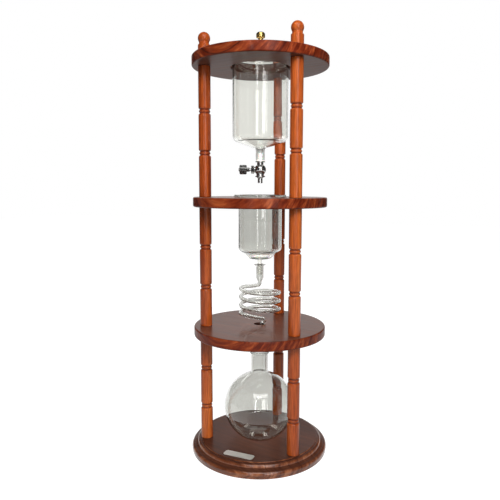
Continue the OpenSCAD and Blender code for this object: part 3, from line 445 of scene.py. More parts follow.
class Shader:
    """A material with one Principled shader and short calls for its nodes."""

    def __init__(self, name, **values):
        self.material = bpy.data.materials.new(name)
        self.material.use_nodes = True
        self.tree = self.material.node_tree
        self.main = self.tree.nodes["Principled BSDF"]
        for label, value in values.items():
            self.main.inputs[label.replace("_", " ")].default_value = value

    def add(self, kind, inputs=(), **settings):
        node = self.tree.nodes.new("ShaderNode" + kind)
        for label, value in settings.items():
            setattr(node, label, value)
        for key, value in dict(inputs).items():
            self.give(node, key, value)
        return node

    def give(self, node, key, value):
        """Sets one input, from another node's output or from a number or colour."""
        if isinstance(value, bpy.types.NodeSocket):
            self.tree.links.new(value, node.inputs[key])
        else:
            node.inputs[key].default_value = value

    def finish(self, colour, roughness):
        self.give(self.main, "Base Color", colour)
        self.give(self.main, "Roughness", roughness)

    def place(self, scale, turn=(0, 0, 0)):
        """The place on the object at rest, scaled for a texture."""
        coordinates = self.add("TexCoord")
        mapping = self.add("Mapping", {"Vector": coordinates.outputs["Object"], "Scale": scale,
                                       "Rotation": turn})
        return mapping.outputs["Vector"]

    def split(self, vector):
        return self.add("SeparateXYZ", {"Vector": vector}).outputs

    def at_rest(self):
        """X, Y and Z of the place on the object at rest."""
        return self.split(self.add("TexCoord").outputs["Object"])

    def vector(self, **axes):
        return self.add("CombineXYZ", axes).outputs["Vector"]

    def vectors(self, operation, *values):
        node = self.add("VectorMath", dict(enumerate(values)), operation=operation)
        return node.outputs["Vector"]

    def noise(self, place, scale, detail=4.0, roughness=0.55, distortion=0.0):
        node = self.add("TexNoise", {"Vector": place, "Scale": scale, "Detail": detail,
                                     "Roughness": roughness, "Distortion": distortion})
        return node.outputs["Fac"]

    def ramp(self, value, stops):
        """A colour ramp of (position, colour) stops."""
        node = self.add("ValToRGB", {"Fac": value})
        elements = node.color_ramp.elements
        while len(elements) < len(stops):
            elements.new(0.5)
        for element, (position, colour) in zip(elements, stops):
            element.position = position
            element.color = (*colour, 1.0)
        return node.outputs["Color"]

    def math(self, operation, a, b=0.0):
        return self.add("Math", {0: a, 1: b}, operation=operation).outputs["Value"]

    def blend(self, a, share_a, b, share_b):
        return self.math("ADD", self.math("MULTIPLY", a, share_a),
                         self.math("MULTIPLY", b, share_b))

    def between(self, value, low, high, to_low=0.0, to_high=1.0):
        node = self.add("MapRange", {"Value": value, "From Min": low, "From Max": high,
                                     "To Min": to_low, "To Max": to_high})
        return node.outputs["Result"]

    def mix(self, share, a, b, blend="MIX"):
        node = self.add("Mix", {"Factor": share, 6: a, 7: b}, data_type="RGBA", blend_type=blend)
        return node.outputs[2]

    def shade(self, colour, level):
        """The colour, darker or lighter by a level round 1."""
        grey = self.add("CombineColor", {"Red": level, "Green": level, "Blue": level})
        return self.mix(1.0, colour, grey.outputs["Color"], "MULTIPLY")

    def bump(self, height, strength, depth):
        node = self.add("Bump", {"Height": height, "Strength": strength, "Distance": depth})
        self.give(self.main, "Normal", node.outputs["Normal"])


def post_wood():
    """Cherry stained lacquer over turned wood, with the grain up the post."""
    shader = Shader("post_wood", Roughness=0.4, Coat_Weight=0.45, Coat_Roughness=0.2,
                    Specular_IOR_Level=0.05)
    place = shader.place((1, 1, 0.035))
    warp = shader.noise(place, 14.7, detail=3.0)
    bands = shader.noise(place, 42.0, detail=5.0, roughness=0.6, distortion=0.9)
    fibres = shader.noise(place, 900.0, detail=2.0, roughness=0.7)
    colour = shader.ramp(shader.blend(bands, 0.75, warp, 0.25), CHERRY)
    colour = shader.shade(colour, shader.between(fibres, 0.34, 0.60, 0.55, 1.08))
    painted_groove_shade = shader.add("Attribute", attribute_name="painted_groove_shade").outputs["Fac"]
    # Painted shade darkens the grooves by how deep they lie
    shader.finish(shader.mix(painted_groove_shade, colour, GROOVE_SHADE_COLOUR),
                  shader.between(fibres, 0.3, 0.7, 0.34, 0.48))
    shader.bump(fibres, 0.10, 0.0002)
    return shader.material


def board_wood(name, rims, rim_coat, painted_top_shade, top_coat):
    """Dark walnut stained strips, glued side by side, with rims of their own colour.

    The strips lean together, and each has its own tone and its own shift along its
    length. The underside has no lacquer. The inner walls of the holes are painted near
    black as shade.
    """
    shader = Shader(name, Coat_Roughness=0.16, Specular_IOR_Level=0.08)
    place = shader.place((1, 1, 1), (0, 0, STRIP_TURN))
    axes = shader.split(place)
    across = shader.math("ADD", axes["Y"], shader.math("MULTIPLY", axes["Z"], STRIP_LEAN))
    strip = shader.math("DIVIDE", across, STRIP_W)
    number = shader.math("FLOOR", strip)
    tone = shader.add("TexWhiteNoise", {"W": number}, noise_dimensions="1D").outputs["Value"]
    along = shader.vector(X=shader.math("MULTIPLY", tone, 3.0), Y=tone)
    moved = shader.split(shader.vectors("ADD", place, along))
    leaning = shader.vector(X=moved["X"], Y=across, Z=moved["Z"])
    stretched = shader.vectors("MULTIPLY", leaning, (0.05, 1, 0.25))
    bands = shader.noise(stretched, 150.0, detail=5.0, roughness=0.62, distortion=0.3)
    fibres = shader.noise(stretched, 700.0, detail=2.0, roughness=0.7)

    # The top's walnut, scaled by the top's level: a level below 1 is painted shade
    top = shader.ramp(bands, [(at, [c * painted_top_shade for c in colour]) for at, colour in WALNUT])
    rim = shader.ramp(bands, rims)
    rise = shader.split(shader.add("TexCoord").outputs["Normal"])["Z"]
    coat = shader.between(rise, -0.6, 0.0, 0.0, rim_coat)
    shader.give(shader.main, "Coat Weight", shader.between(rise, 0.6, 1.0, coat, top_coat))
    at_rest = shader.at_rest()
    around = shader.vector(X=at_rest["X"], Y=at_rest["Y"])
    away = shader.add("VectorMath", {0: around}, operation="LENGTH").outputs["Value"]
    # The holes' inner walls are painted near black as shade; the outer rims keep the rim colour
    side = shader.mix(shader.between(away, HOLE_SHADE_WITHIN, RIMS_BEYOND), HOLE_SHADE_COLOUR, rim)
    colour = shader.mix(shader.between(shader.math("ABSOLUTE", rise), 0.55, 0.95), side, top)

    level = shader.math("MULTIPLY", shader.between(fibres, 0.3, 0.65, 0.72, 1.05),
                        shader.between(tone, 0, 1, 0.82, 1.16))
    colour = shader.shade(colour, level)
    edge = shader.math("ABSOLUTE", shader.math("SUBTRACT", shader.math("FRACT", strip), 0.5))
    joint = shader.between(edge, 0.488, 0.497)
    colour = shader.mix(shader.math("MULTIPLY", joint, 0.75), colour, JOINT_COLOUR)
    shader.finish(colour, shader.between(bands, 0.3, 0.7, 0.36, 0.48))
    shader.bump(shader.math("SUBTRACT", fibres, joint), 0.12, 0.0002)
    return shader.material


def glass(name, tint, depth, ripple=0.02, roughness=0.0, stops=()):
    """Blown glass, grey where it is thick, with a ripple that bends what is behind it.

    stops are (height, grey, matt) from the lowest up, and paint shade and light on the
    glass by height: greyer and matt bands as painted shade, clearer bands as painted
    light. They take the tint's place, which stays on the socket for programs that read
    no nodes.
    """
    shader = Shader(name, Base_Color=(*tint, 1), Roughness=roughness, Transmission_Weight=1.0,
                    IOR=GLASS_IOR)
    body = shader.add("VolumeAbsorption", {"Color": GLASS_BODY, "Density": depth})
    shader.give(shader.tree.nodes["Material Output"], "Volume", body.outputs["Volume"])
    shader.bump(shader.noise(shader.place((1, 1, 0.08)), 60.0, detail=1.0), ripple, 0.004)
    if not stops:
        return shader.material
    low, high = stops[0][0], stops[-1][0]
    share = shader.between(shader.at_rest()["Z"], low, high)
    greys, matts = [], []
    for z, grey, matt in stops:
        at = (z - low) / (high - low)
        greys.append((at, (grey, grey, BLUE_SHARE * grey)))
        matts.append((at, (matt, matt, matt)))
    shader.give(shader.main, "Base Color", shader.ramp(share, greys))
    if any(matt for z, grey, matt in stops):
        shader.give(shader.main, "Roughness", shader.ramp(share, matts))
    return shader.material


def metal(name, colour, roughness, scratch=(1, 1, 1), spread=0.1, depth=0.02):
    """Metal with fine marks along one direction and faintly uneven polish."""
    shader = Shader(name, Base_Color=(*colour, 1), Metallic=1.0)
    marks = shader.noise(shader.place(scratch), 420.0, detail=3.0, roughness=0.65)
    smudge = shader.noise(shader.place((1, 1, 1)), 55.0, detail=3.0)
    dull = (*[c * 0.84 for c in colour], 1)
    shade = shader.mix(shader.between(smudge, 0.35, 0.75), dull, (*colour, 1))
    both = shader.blend(marks, 0.6, smudge, 0.4)
    shader.finish(shade, shader.between(both, 0.3, 0.7, roughness, roughness + spread))
    shader.bump(marks, depth, 0.0001)
    return shader.material


def soft(name, colour, roughness, speckle=0.08, scale=600.0, subsurface=0.0):
    """Rubber, silicone or sintered glass: matt with a fine speckle."""
    shader = Shader(name, Subsurface_Weight=subsurface, Subsurface_Scale=0.002)
    dots = shader.noise(shader.place((1, 1, 1)), scale, detail=3.0, roughness=0.7)
    dark = (*[c * (1 - 3 * speckle) for c in colour], 1)
    shade = shader.mix(shader.between(dots, 0.3, 0.6), dark, (*colour, 1))
    shader.finish(shade, shader.between(dots, 0.3, 0.7, roughness - 0.06, roughness + 0.06))
    shader.bump(dots, 0.15, 0.0001)
    return shader.material


POST_WOOD = post_wood()
BOARD_WOOD = board_wood("board_wood", RED_RIMS, 0.12, 1.0, 0.28)
# The base's top is painted in shade: its walnut at 0.66
BASE_WOOD = board_wood("base_wood", BROWN_RIMS, 0.9, 0.66, 0.12)
# The bowl's stem gets painted shade, grey and matt; the band just under the board's top clears as
# painted light
BOWL_GLASS = glass("bowl_glass", (0.90, 0.91, 0.885), depth=14.0, ripple=0.05, stops=[
    (STEM_TOP - 1 * MM, 0.56, 0.28), (STEM_TOP + 3 * MM, 0.91, 0.0),
    (BOARD_TOP - 14 * MM, 0.91, 0.0), (BOARD_TOP - 4 * MM, 0.99, 0.0)])
LID_GLASS = glass("lid_glass", (0.985, 0.985, 0.98), depth=2.0)
# The chamber grows clearer towards its foot and below it: painted light
CHAMBER_GLASS = glass("chamber_glass", (0.72, 0.72, 0.67), depth=20.0, ripple=0.06, stops=[
    (CHAMBER_FOOT - 3 * MM, 0.96, 0.0), (CHAMBER_FOOT, 0.84, 0.0),
    (CHAMBER_FOOT + 30 * MM, 0.72, 0.0)])
# The funnel gets painted shade, grey and matt; its lip is clearer, as painted light
COIL_GLASS = glass("coil_glass", (0.82, 0.82, 0.80), depth=4.0, ripple=0.0, roughness=0.06, stops=[
    (FUNNEL_END - 8 * MM, 0.77, 0.12), (FUNNEL_END, 0.70, 0.2),
    (FUNNEL_TOP - 4 * MM, 0.70, 0.2), (FUNNEL_TOP - 3 * MM, 0.92, 0.1)])
# The flask's neck gets painted shade, greyer than its body
FLASK_GLASS = glass("flask_glass", (0.77, 0.77, 0.765), depth=14.0, ripple=0.01, stops=[
    (FLASK_TOP - 36 * MM, 0.77, 0.0), (FLASK_TOP - 28 * MM, 0.68, 0.0), (FLASK_TOP, 0.68, 0.0)])
CHROME = metal("chrome", (0.50, 0.50, 0.495), 0.09, spread=0.06, depth=0.01)
# The knob's chrome as a darker copy of the body's: painted shade, the same metal dulled to 0.15
SHADED_KNOB_CHROME = metal("shaded_knob_chrome", (0.15, 0.15, 0.147), 0.12, spread=0.08, depth=0.01)
BRASS = metal("brass", (0.76, 0.52, 0.17), 0.12, scratch=(1, 1, 0.3))
STEEL = metal("steel", (0.56, 0.56, 0.57), 0.28, scratch=(1, 1, 0.2))
PLATE = metal("plate_metal", (0.84, 0.82, 0.78), 0.46, scratch=(0.04, 1, 1), spread=0.12,
              depth=0.05)
SILICONE = soft("white_silicone", (0.86, 0.85, 0.82), 0.42, speckle=0.02, subsurface=0.2)
RUBBER = soft("black_rubber", (0.02, 0.02, 0.02), 0.6)
FRIT = soft("sintered_filter", (0.80, 0.78, 0.74), 0.8, speckle=0.16, scale=1500.0)

FINISHES = {
    "board_wood": BOARD_WOOD, "post_wood": POST_WOOD, "clear_glass": BOWL_GLASS, "chrome": CHROME,
    "brass": BRASS, "steel": STEEL, "plate_metal": PLATE, "white_silicone": SILICONE,
    "black_rubber": RUBBER, "sintered_filter": FRIT,
}


def finish_nodes():
    """Every node that the frame holds gets the finish of its slot."""
    for part in frame["record"]["subparts"]:
        mesh = frame["nodes"][part["node"]].data
        mesh.materials.clear()
        mesh.materials.append(FINISHES[part["material_slot"]])


# ---- Wooden stand ----

POSTS = [n for n in frame["nodes"] if "_post_" in n]
FINIALS = [n for n in frame["nodes"] if n.startswith("finial_")]


def stud_cutters():
    """Three plain cylinders, where the studs pass through every board."""
    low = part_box("base_board")[0].z - STUD_HOLE_R
    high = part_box("top_board")[1].z + STUD_HOLE_R
    outline = [(0, low), (STUD_HOLE_R, low), (STUD_HOLE_R, high), (0, high)]
    for node in FINIALS:
        yield as_object("stud_cutter", lathe(outline, axis_of(node)[1], sides=STUD_SIDES))


def shelf(node, hole_r):
    low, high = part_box(node)
    outline = rounded([(hole_r, low.z, HOLE_ROUND), (high.x, low.z, BOARD_ROUND),
                       (high.x, high.z, BOARD_ROUND), (hole_r, high.z, HOLE_ROUND)])
    board = combine(as_object(node + "_turned", lathe(outline)), "DIFFERENCE", *stud_cutters())
    return finished(board, "stand", BOARD_WOOD, [node])


def base_outline(low, high):
    """The moulded edge: a small step, a quarter round and a fuller bead under it."""
    upper_z = high.z - BASE_STEP - UPPER_BEAD_R
    lower_x = high.x - LOWER_BEAD_R
    foot_x = lower_x + LOWER_BEAD_R * math.cos(math.radians(LOWER_BEAD_END))
    return (
        rounded([(0, high.z, 0), (BASE_TOP_R, high.z, BASE_TOP_ROUND),
                 (BASE_TOP_R, high.z - BASE_STEP, 0)], closed=False)
        + arc(BASE_TOP_R + BASE_STEP, upper_z, UPPER_BEAD_R, 90, 0)
        + arc(lower_x, low.z + LOWER_BEAD_R, LOWER_BEAD_R, 90, -LOWER_BEAD_END)
        + [(foot_x, low.z), (0, low.z)]
    )


def plate_outline(grow=0.0):
    """Corners of the plate with its clipped ends, in its own plane."""
    low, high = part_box("nameplate")
    x, y = (high.x - low.x) / 2 + grow, (high.y - low.y) / 2 + grow
    c = PLATE_CLIP
    return [(x, c - y), (x, y - c), (x - c, y), (c - x, y),
            (-x, y - c), (-x, c - y), (c - x, -y), (x - c, -y)]


def plate_prism(name, outline, low_z, high_z):
    """An upright solid on the plate's place, from one height to another."""
    centre = axis_of("nameplate")[0]
    bm = bmesh.new()
    floor = bm.faces.new([bm.verts.new((centre.x + x, centre.y + y, low_z)) for x, y in outline])
    moved = bmesh.ops.extrude_face_region(bm, geom=[floor])
    top = [v for v in moved["geom"] if isinstance(v, bmesh.types.BMVert)]
    bmesh.ops.translate(bm, verts=top, vec=(0, 0, high_z - low_z))
    bmesh.ops.recalc_face_normals(bm, faces=bm.faces)
    return as_object(name, bm)


def base_board():
    low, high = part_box("base_board")
    board = as_object("base_board_turned", lathe(base_outline(low, high)))
    sink = [(0, low.z - SCREW_SINK), (SCREW_HEAD_R, low.z - SCREW_SINK),
            (SCREW_HEAD_R, low.z + SCREW_SINK), (0, low.z + SCREW_SINK + SCREW_HEAD_R)]
    cutters = list(stud_cutters())
    for node in FINIALS:
        cutters.append(as_object("screw_cutter", lathe(sink, axis_of(node)[1], sides=CUTTER_SIDES)))
    plate_low, plate_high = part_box("nameplate")
    cutters.append(plate_prism("plate_cutter", plate_outline(PLATE_GAP),
                               plate_low.z, plate_high.z + PLATE_CUT))
    combine(board, "DIFFERENCE", *cutters)
    return finished(board, "stand", BASE_WOOD, ["base_board"])


def nameplate():
    """A blank plate with a softened upper edge."""
    low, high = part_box("nameplate")
    plate = plate_prism("nameplate_blank", plate_outline(), low.z, high.z)
    edge = plate.modifiers.new("edge", "BEVEL")
    edge.width = PLATE_ROUND
    edge.segments = 3
    return finished(plate, "stand", PLATE, ["nameplate"], sharp=math.radians(60))


def bead(post_r, z):
    """Outline of one bead between its two grooves, round height z."""
    groove_r = post_r - GROOVE_DEPTH
    crown_d = GROOVE_DEPTH - BEAD_DROP
    half = BEAD_W / 2
    end = half + GROOVE_W + SHOULDER_L
    quarter = swept(0, math.pi / 2, GROOVE_STEPS)
    crown = swept(0, math.pi, CROWN_STEPS)
    shoulder = [(groove_r + GROOVE_DEPTH * math.cos(a), end - SHOULDER_L * math.sin(a))
                for a in quarter]
    return (
        [(r, z - away) for r, away in shoulder]
        + [(groove_r + crown_d * math.sin(a), z - half * math.cos(a)) for a in crown]
        + [(r, z + away) for r, away in reversed(shoulder)]
    )


def paint_groove_shade(obj, axis, post_r):
    """Marks how deep each point lies under the post's surface, as painted shade that darkens the
    grooves the deeper they go.
    """
    mark = obj.data.attributes.new("painted_groove_shade", "FLOAT", "POINT")
    for vertex in obj.data.vertices:
        depth = post_r - math.hypot(vertex.co.x - axis.x, vertex.co.y - axis.y)
        mark.data[vertex.index].value = GROOVE_SHADE_LEVEL * min(1.0, max(0.0, depth) / GROOVE_DEPTH) ** 2


def turned(node, outline, shaded_from):
    """A turned piece of the stand, with painted shade in what lies deeper than a radius."""
    middle, at = axis_of(node)
    piece = as_object(node + "_turned", lathe(outline, at, sides=TURNED_SIDES))
    paint_groove_shade(piece, middle, shaded_from)
    return finished(piece, "stand", POST_WOOD, [node])


def socket_end(r, z):
    """A lower end with the hole of a threaded insert in it and a rounded edge."""
    return ([(0, z + INSERT_HOLE), (INSERT_R, z + INSERT_HOLE), (INSERT_R, z)]
            + arc(r - POST_ROUND, z + POST_ROUND, POST_ROUND, -90, 0))


def post(node):
    low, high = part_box(node)
    r = (high.x - low.x) / 2
    middle_z = (low.z + high.z) / 2
    return turned(node, (
        socket_end(r, low.z)
        + bead(r, middle_z - BEAD_SPACING / 2)
        + bead(r, middle_z + BEAD_SPACING / 2)
        + arc(r - POST_ROUND, high.z - POST_ROUND, POST_ROUND, 0, 90)
        + [(INSERT_R, high.z), (INSERT_R, high.z - INSERT_HOLE), (0, high.z - INSERT_HOLE)]
    ), r)


def finial(node):
    low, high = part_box(node)
    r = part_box(POSTS[0])[1].x - axis_of(POSTS[0])[0].x
    ball_z = high.z - FINIAL_BALL_R
    neck_z = ball_z - math.sqrt(FINIAL_BALL_R ** 2 - FINIAL_NECK_R ** 2)
    foot_z = low.z + FINIAL_FOOT
    lean = -math.degrees(math.acos(FINIAL_NECK_R / FINIAL_BALL_R))
    return turned(node, (
        socket_end(r, low.z)
        + arc(r - POST_ROUND, foot_z - POST_ROUND, POST_ROUND, 0, 90)
        + [(FINIAL_NECK_R, foot_z + POST_ROUND), (FINIAL_NECK_R, neck_z)]
        + arc(0, ball_z, FINIAL_BALL_R, lean, 90)
    ), 0)


def stand():
    base_board()
    nameplate()
    shelf("lower_shelf", LEG_HOLE_R)
    shelf("middle_shelf", CHAMBER_R + CHAMBER_GAP)
    shelf("top_board", BOWL_R + BOWL_GAP)
    for node in POSTS:
        post(node)
    for node in FINIALS:
        finial(node)


# ---- Glass ----

def inside_streaks(inner_r):
    """Blown glass is never quite round inside: shallow flutes up the wall's inner skin."""
    def streaks(r, z, a):
        if abs(r - inner_r) >= SKIN:
            return 0.0
        return STREAK_DEPTH * (math.sin(5 * a + 0.7) + 0.7 * math.sin(11 * a + 2.1)
                               + 0.5 * math.sin(17 * a + 40 * z))
    return streaks


def blown(node, body, outline, material, wave=None):
    """A glass piece, which casts no shadow of its own."""
    piece = as_object(node + "_blown", lathe(outline, wave=wave))
    return finished(piece, body, material, [node], shadow=False)


def water_bowl():
    low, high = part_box("water_bowl")
    inner = BOWL_R - BOWL_WALL
    wall_z = STEM_TOP + BOWL_CONE
    outline = rounded([
        (STEM_BORE_R, low.z, GLASS_ROUND / 2),
        (STEM_R, low.z, GLASS_ROUND),
        (STEM_R, STEM_TOP, STEM_ROUND),
        (BOWL_R, wall_z, BOWL_ROUND),
        (BOWL_R, BOARD_TOP, GLASS_ROUND),
        (high.x, BOARD_TOP, GLASS_ROUND),
        (high.x, high.z, GLASS_ROUND),
        (inner, high.z, GLASS_ROUND),
        (inner, wall_z + BOWL_WALL, BOWL_ROUND - BOWL_WALL),
        (STEM_BORE_R, STEM_TOP + BOWL_WALL, STEM_ROUND),
    ])
    return blown("water_bowl", "bowl", outline, BOWL_GLASS, inside_streaks(inner))


def dome(chord, rise, x):
    """Height at distance x from the middle of a cap through its rim and its top."""
    r = (chord ** 2 + rise ** 2) / (2 * rise)
    return math.sqrt(r * r - x * x) - r + rise


def bowl_lid():
    low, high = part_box("bowl_lid")
    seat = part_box("water_bowl")[1].z
    base = seat + LID_RIM_T
    dome_r = high.x - LID_RIM_W
    under_r = dome_r - LID_T
    ring_in = LID_RING_R - LID_RING_T
    top = base + dome(dome_r, LID_RISE, LID_FLAT_R)
    shares = [i / LID_STEPS for i in range(1, LID_STEPS + 1)]
    over = [LID_FLAT_R + (dome_r - LID_FLAT_R) * t for t in shares]
    under = [LID_FLAT_R + (ring_in - LID_FLAT_R) * t for t in reversed(shares)]
    outline = (
        [(LID_HOLE_R, top), (LID_FLAT_R, top)]
        + [(x, base + dome(dome_r, LID_RISE, x)) for x in over]
        + rounded([(dome_r, base, 0), (high.x, base, GLASS_ROUND), (high.x, seat, GLASS_ROUND / 2),
                   (LID_RING_R, seat, GLASS_ROUND / 2), (LID_RING_R, low.z, GLASS_ROUND / 2),
                   (ring_in, low.z, GLASS_ROUND / 2), (ring_in, seat, 0)], closed=False)[1:-1]
        + [(x, seat + dome(under_r, LID_RISE + LID_RIM_T - LID_T, x)) for x in under]
        + [(LID_FLAT_R, top - LID_T), (LID_HOLE_R, top - LID_T)]
    )
    return blown("bowl_lid", "lid", outline, LID_GLASS)


def coffee_chamber():
    low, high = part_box("coffee_chamber")
    seat = high.z - CHAMBER_FLANGE_T
    inner = CHAMBER_R - CHAMBER_WALL
    cone_z = CHAMBER_FOOT + CHAMBER_CONE
    shoulder_z = cone_z + CHAMBER_SHOULDER
    floor_z = CHAMBER_FOOT + CHAMBER_WALL
    slope_in = CHAMBER_WALL * (math.sqrt(2) - 1)
    bore_r = DRIP_R - DRIP_WALL
    outline = rounded([
        (bore_r, low.z, GLASS_ROUND / 2),
        (DRIP_R, low.z, GLASS_ROUND / 2),
        (DRIP_R, CHAMBER_FOOT, FOOT_ROUND),
        (CHAMBER_FOOT_R, CHAMBER_FOOT, FOOT_ROUND),
        (CHAMBER_CONE_R, cone_z, FOOT_ROUND),
        (CHAMBER_R, shoulder_z, CHAMBER_ROUND),
        (CHAMBER_R, seat, GLASS_ROUND),
        (high.x, seat, GLASS_ROUND),
        (high.x, high.z, GLASS_ROUND),
        (inner, high.z, GLASS_ROUND),
        (inner, shoulder_z + slope_in, CHAMBER_ROUND - CHAMBER_WALL),
        (CHAMBER_CONE_R - slope_in, cone_z + CHAMBER_WALL, FOOT_ROUND),
        (CHAMBER_FOOT_R - slope_in, floor_z, FOOT_ROUND / 2),
        (bore_r, floor_z, FOOT_ROUND / 2),
    ])
    return blown("coffee_chamber", "chamber", outline, CHAMBER_GLASS, inside_streaks(inner))


def flask():
    """A round body with a punt pushed up into its flat foot, and a beaded lip."""
    low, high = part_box("flask")
    r = high.x
    inner = r - FLASK_WALL
    ball_z = low.z + FLASK_MIDDLE
    neck_bore = FLASK_NECK_R - FLASK_WALL
    floor_middle = FLASK_MIDDLE - FLASK_WALL
    foot_a = math.degrees(math.asin(FLASK_MIDDLE / r))
    floor_a = math.degrees(math.asin(floor_middle / inner))
    foot_r = math.sqrt(r ** 2 - FLASK_MIDDLE ** 2)
    floor_r = math.sqrt(inner ** 2 - floor_middle ** 2)
    round_x = FLASK_NECK_R + FLASK_ROUND
    round_a = math.degrees(math.acos(round_x / (r + FLASK_ROUND)))
    round_z = ball_z + math.sqrt((r + FLASK_ROUND) ** 2 - round_x ** 2)

    def foot(z, end_r):
        return rounded([(0, z + PUNT_H, 0), (PUNT_TOP_R, z + PUNT_H, PUNT_TOP_ROUND),
                        (PUNT_R, z, PUNT_ROUND), (end_r, z, 0)], closed=False)

    lip = rounded([
        (FLASK_NECK_R, round_z, 0),
        (FLASK_NECK_R, high.z - FLASK_LIP_H - GLASS_ROUND, GLASS_ROUND),
        (FLASK_LIP_R, high.z - FLASK_LIP_H, GLASS_ROUND),
        (FLASK_LIP_R, high.z, FLASK_LIP_H / 2),
        (neck_bore, high.z, GLASS_ROUND),
        (neck_bore, round_z, 0),
    ], closed=False)
    outline = (
        foot(low.z, foot_r)
        + arc(0, ball_z, r, -foot_a, round_a)[1:]
        + arc(round_x, round_z, FLASK_ROUND, 180 + round_a, 180)[1:]
        + lip[1:-1]
        + arc(round_x, round_z, FLASK_ROUND + FLASK_WALL, 180, 180 + round_a)
        + arc(0, ball_z, inner, round_a, -floor_a)[1:]
        + foot(low.z + FLASK_WALL, floor_r)[-2::-1]
    )
    return blown("flask", "flask", outline, FLASK_GLASS)


# The coil is one tube. A station of it is its middle, its heading over the ground, its
# dip under the level and its outer and inner radius.

def fall(t, length, drop, slope_in, slope_out):
    """Fall after a share t of a run that drops in all, and the dip there."""
    depth = ((t ** 3 - 2 * t * t + t) * length * slope_in + (3 * t * t - 2 * t ** 3) * drop
             + (t ** 3 - t * t) * length * slope_out)
    slope = ((3 * t * t - 4 * t + 1) * slope_in + (6 * t - 6 * t * t) * drop / length
             + (3 * t * t - 2 * t) * slope_out)
    return depth, math.atan(slope)


def funnel_stations(heading):
    """Lip, straight part and taper of the funnel, from the top down."""
    bore = FUNNEL_R - TUBE_WALL
    lip_in = FUNNEL_LIP_R - FUNNEL_LIP_ROUND
    stations = []
    for i, a in enumerate(swept(math.pi / 2, -math.pi, LIP_STEPS)):
        z = FUNNEL_TOP - FUNNEL_LIP_H / 2 * (1 - math.sin(a))
        flare = (lip_in - TUBE_WALL - bore) * (1 - i / LIP_STEPS) ** 2
        stations.append((z, lip_in + FUNNEL_LIP_ROUND * math.cos(a), bore + flare))
    stations.append((FUNNEL_TOP - FUNNEL_LIP_H - FUNNEL_LIP_TAPER, FUNNEL_R, bore))
    for i in range(TAPER_STEPS):
        t = i / TAPER_STEPS
        ease = t * t * (3 - 2 * t)
        stations.append((FUNNEL_TOP - FUNNEL_H - FUNNEL_TAPER * t,
                         FUNNEL_R + (TUBE_R - FUNNEL_R) * ease,
                         bore + (TUBE_R - TUBE_WALL - bore) * ease))
    return [(Vector((0, 0, z)), heading, math.pi / 2, outer, inner)
            for z, outer, inner in stations]


def coil_stations(leg_end):
    """The whole tube: funnel, run out, turns, run back, hook and leg."""
    start = SPINDLE_ANGLE
    reach = COIL_R - TURN_BEND_R
    lean = math.asin(TURN_BEND_R / reach)
    run = math.sqrt(reach ** 2 - TURN_BEND_R ** 2)
    bend_l = TURN_BEND_R * (math.pi / 2 + lean)
    first, last = start - lean, start + math.pi + lean
    hook_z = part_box("lower_shelf")[1].z + HOOK_RISE
    hook_x = LEG_OFFSET - HOOK_R * (2 * math.cos(HOOK_TURN) - 1)
    in_l = run - AXIS_BEND_R * (1 - math.sin(INLET_SLOPE)) + bend_l
    out_l = bend_l + run + hook_x + HOOK_R * math.sin(OUTLET_SLOPE)
    in_z = FUNNEL_END - AXIS_BEND_R * math.cos(INLET_SLOPE)
    turns_top = in_z - INLET_DROP
    turns_end = hook_z + HOOK_R * math.cos(OUTLET_SLOPE) + OUTLET_DROP
    pitch = (turns_top - turns_end) / COIL_TURNS
    turn_slope = pitch / (TAU * COIL_R)
    path = funnel_stations(first)

    def add(x, y, z, heading, dip):
        path.append((Vector((x, y, z)), heading, dip, TUBE_R, TUBE_R - TUBE_WALL))

    def inlet(s):
        return fall(s / in_l, in_l, INLET_DROP, math.tan(INLET_SLOPE), turn_slope)

    def outlet(s):
        return fall(s / out_l, out_l, OUTLET_DROP, turn_slope, math.tan(OUTLET_SLOPE))

    def straight(u, z, heading, dip):
        """A station at distance u along a line through the middle."""
        add(u * math.cos(heading), u * math.sin(heading), z, heading, dip)

    def bend(heading, z, dip):
        """A station on the bend between a straight run and the turns."""
        add(reach * math.cos(start) + TURN_BEND_R * math.sin(heading),
            reach * math.sin(start) - TURN_BEND_R * math.cos(heading), z, heading, dip)

    for a in swept(0, math.pi / 2 - INLET_SLOPE, AXIS_STEPS):
        straight(AXIS_BEND_R * (1 - math.cos(a)), FUNNEL_END - AXIS_BEND_R * math.sin(a),
                 first, math.pi / 2 - a)
    for i in range(1, RUN_STEPS):
        s = (in_l - bend_l) * i / RUN_STEPS
        depth, dip = inlet(s)
        straight(run - in_l + bend_l + s, in_z - depth, first, dip)
    for a in swept(0, math.pi / 2 + lean, BEND_STEPS)[:-1]:
        depth, dip = inlet(in_l - bend_l + TURN_BEND_R * a)
        bend(first + a, in_z - depth, dip)
    for i in range(COIL_RINGS * COIL_TURNS + 1):
        a = start + TAU * i / COIL_RINGS
        add(COIL_R * math.cos(a), COIL_R * math.sin(a), turns_top - pitch * i / COIL_RINGS,
            a + math.pi / 2, math.atan(turn_slope))
    for a in swept(0, math.pi / 2 + lean, BEND_STEPS)[1:]:
        depth, dip = outlet(TURN_BEND_R * a)
        bend(start + math.pi / 2 + a, turns_end - depth, dip)
    for i in range(1, RUN_STEPS):
        s = bend_l + (out_l - bend_l) * i / RUN_STEPS
        depth, dip = outlet(s)
        straight(s - bend_l - run, turns_end - depth, last, dip)
    over = math.pi / 2 - OUTLET_SLOPE
    for a in swept(over, -over - HOOK_TURN, HOOK_STEPS):
        straight(hook_x + HOOK_R * math.cos(a), hook_z + HOOK_R * math.sin(a), last,
                 math.pi / 2 - a)
    for a in swept(math.pi - HOOK_TURN, HOOK_TURN, LEG_STEPS)[1:]:
        straight(hook_x + HOOK_R * (2 * math.cos(HOOK_TURN) + math.cos(a)),
                 hook_z + HOOK_R * (math.sin(a) - 2 * math.sin(HOOK_TURN)), last,
                 1.5 * math.pi - a)
    straight(LEG_OFFSET, leg_end, last, math.pi / 2)
    return path


